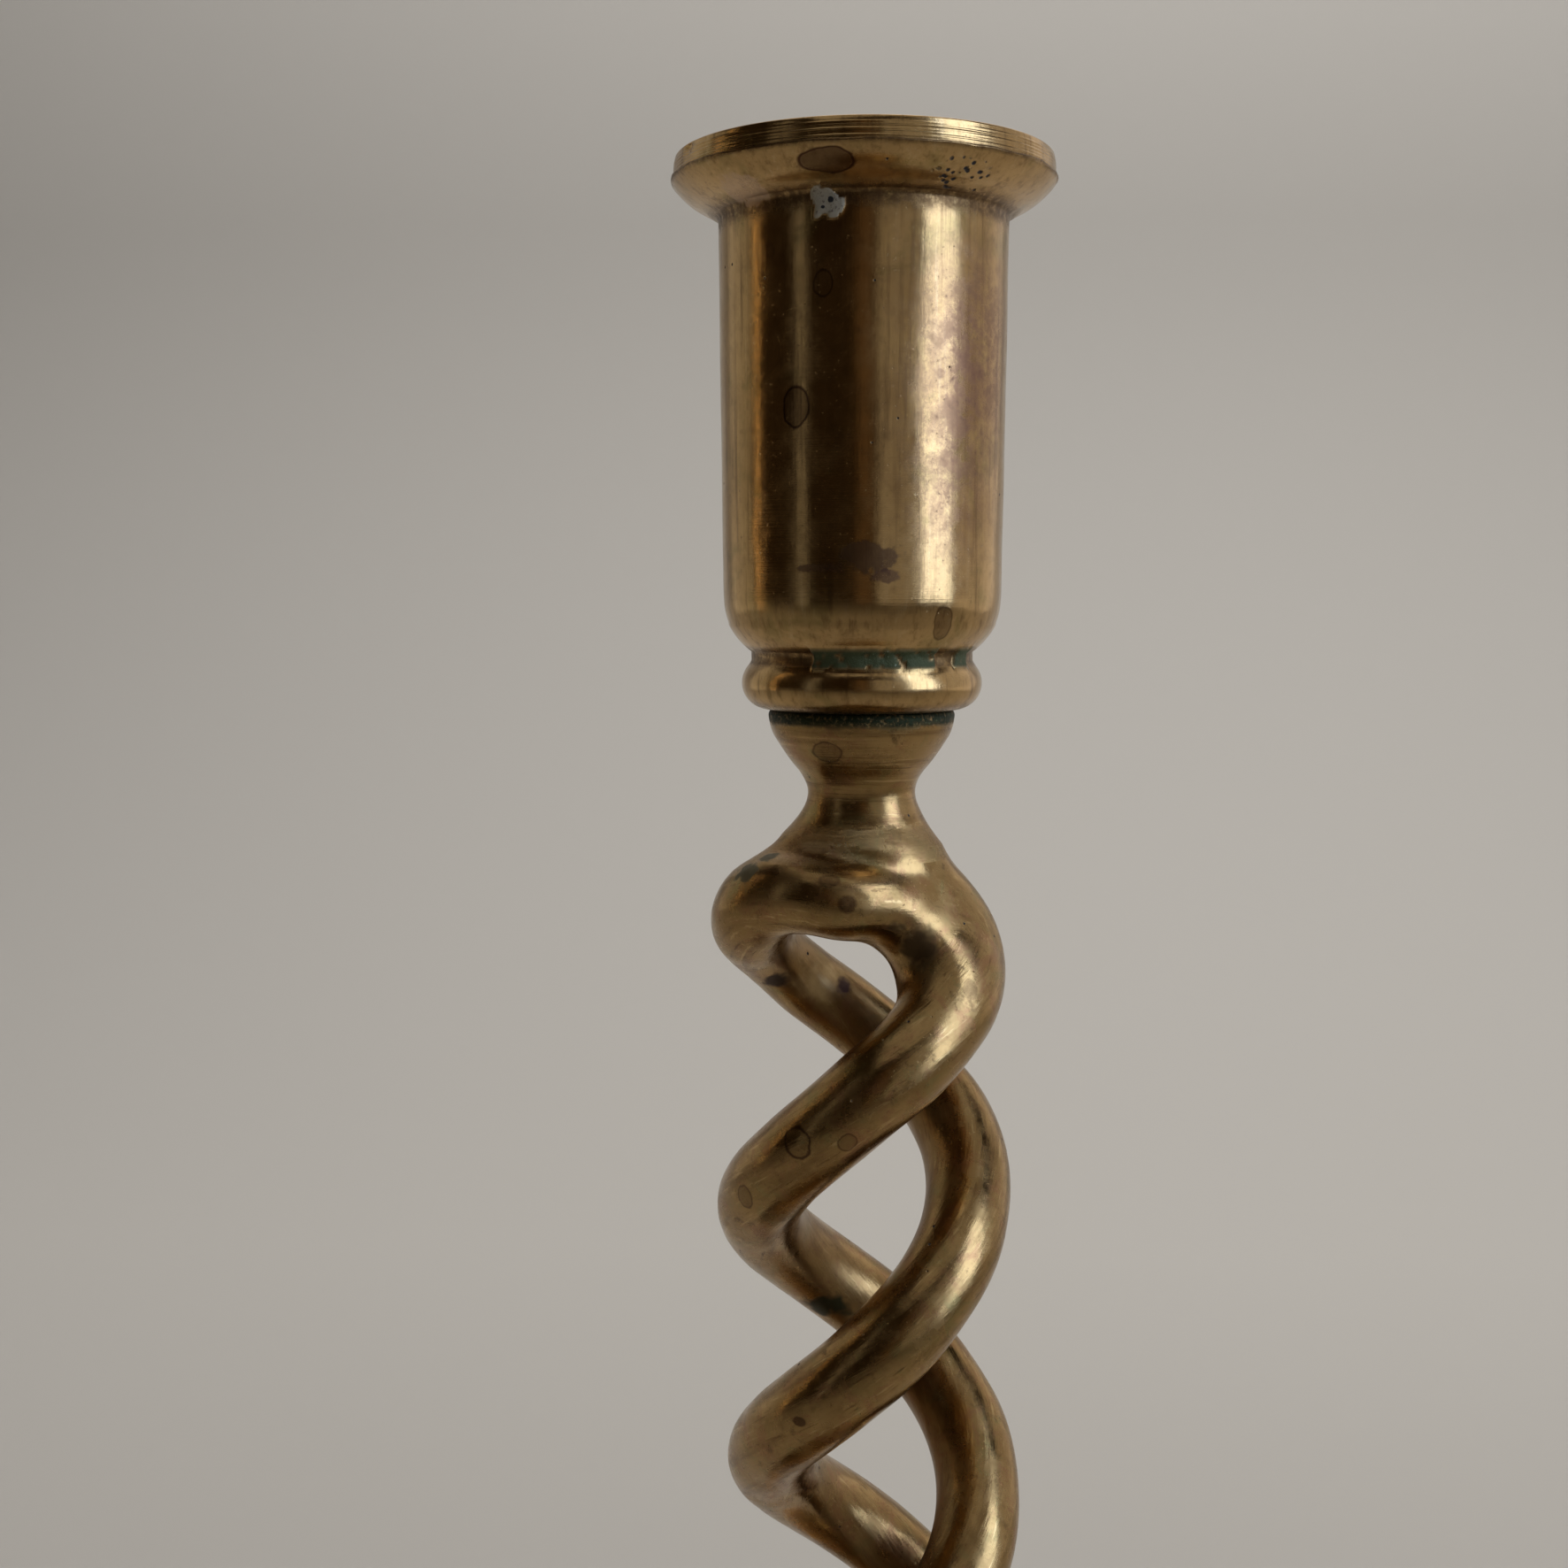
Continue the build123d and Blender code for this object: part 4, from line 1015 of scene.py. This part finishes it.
soft_boxes = []
soft_box("window_right", 47, 76, 0.1, 1.15, 0.8, 4.6, (0.57, 0.71, 1.0))
soft_box("room_far_right", 80, 140, 0.02, 0.9, 0.9, 0.48, (0.98, 0.97, 1.0))
soft_box("room_right", 12, 43, 0.02, 0.9, 0.95, 0.30, (0.98, 0.99, 1.0))
soft_box("room_front", -4, 8, 0.02, 0.9, 1.0, 0.085, (1.0, 0.66, 0.38))
soft_box("strip_left", -54, -46, 0.02, 0.9, 0.9, 0.24, (0.97, 1.0, 1.0))
soft_box("strip_far_left", -93, -91.2, 0.02, 0.9, 0.8, 2.0, (1.0, 0.72, 0.42))
soft_box("room_far_left", -132, -98, 0.02, 0.9, 0.9, 0.30, (1.0, 0.98, 0.9))
ceiling_lamp = bpy.data.lights.new("room_above", "AREA")
ceiling_lamp.size = above_size
ceiling_lamp.energy = above_glow * math.pi * above_size**2
room_above = put_in_scene("room_above", ceiling_lamp)
room_above.location = (0.1, -0.25, 1.1)
soft_boxes.append(room_above)
sheet_lamp = bpy.data.lights.new("sheet_light", "AREA")
sheet_lamp.size = 1.0
sheet_lamp.energy = sheet_watts
sheet_lamp.color = (1.0, 0.975, 0.94)
sheet_light = put_in_scene("sheet_light", sheet_lamp)
sheet_light.location = (0.2, 0.32, 1.5)
sheet_light.rotation_euler = (math.radians(sheet_lamp_tilt), 0, 0)
only_sheet = bpy.data.collections.new("only_sheet")
only_sheet.objects.link(studio_sheet)
sheet_light.light_linking.receiver_collection = only_sheet
only_holder = bpy.data.collections.new("only_holder")
for part in (round_foot, foot_stud, plain_washer, hex_nut, foot_knop, stem, cup_stud, candle_cup):
    only_holder.objects.link(part)
for light in soft_boxes:
    light.light_linking.receiver_collection = only_holder

# The camera stands as close as in the photograph, a little below the rim, and looks slightly down.
# Its place is counted in radii of the cup's barrel, back from the axis and down from the rim.
barrel_radius = barrel_edge * millimetre
eye_back, eye_down = 13.1749, 2.491
view_down, view_left = 0.1066, 0.0417
focal_pixels, picture_pixels = 2100.5, 1772
sensor_width = 36.0
eye = Vector((0, -eye_back * barrel_radius, rim_line * millimetre - eye_down * barrel_radius))
view_level = Vector((-math.sin(view_left), math.cos(view_left), 0))
view_along = view_level * math.cos(view_down) - Vector((0, 0, math.sin(view_down)))
view_right = Vector((math.cos(view_left), math.sin(view_left), 0))
view_up = view_right.cross(view_along)
lens = bpy.data.cameras.new("camera")
lens.sensor_width = sensor_width
lens.lens = sensor_width * focal_pixels / picture_pixels
lens.clip_start = 0.01
camera = put_in_scene("camera", lens)
camera.matrix_world = Matrix(
    [(view_right[i], view_up[i], -view_along[i], eye[i]) for i in range(3)] + [(0, 0, 0, 1)])
bpy.context.scene.camera = camera
bpy.context.scene.view_settings.view_transform = "Standard"
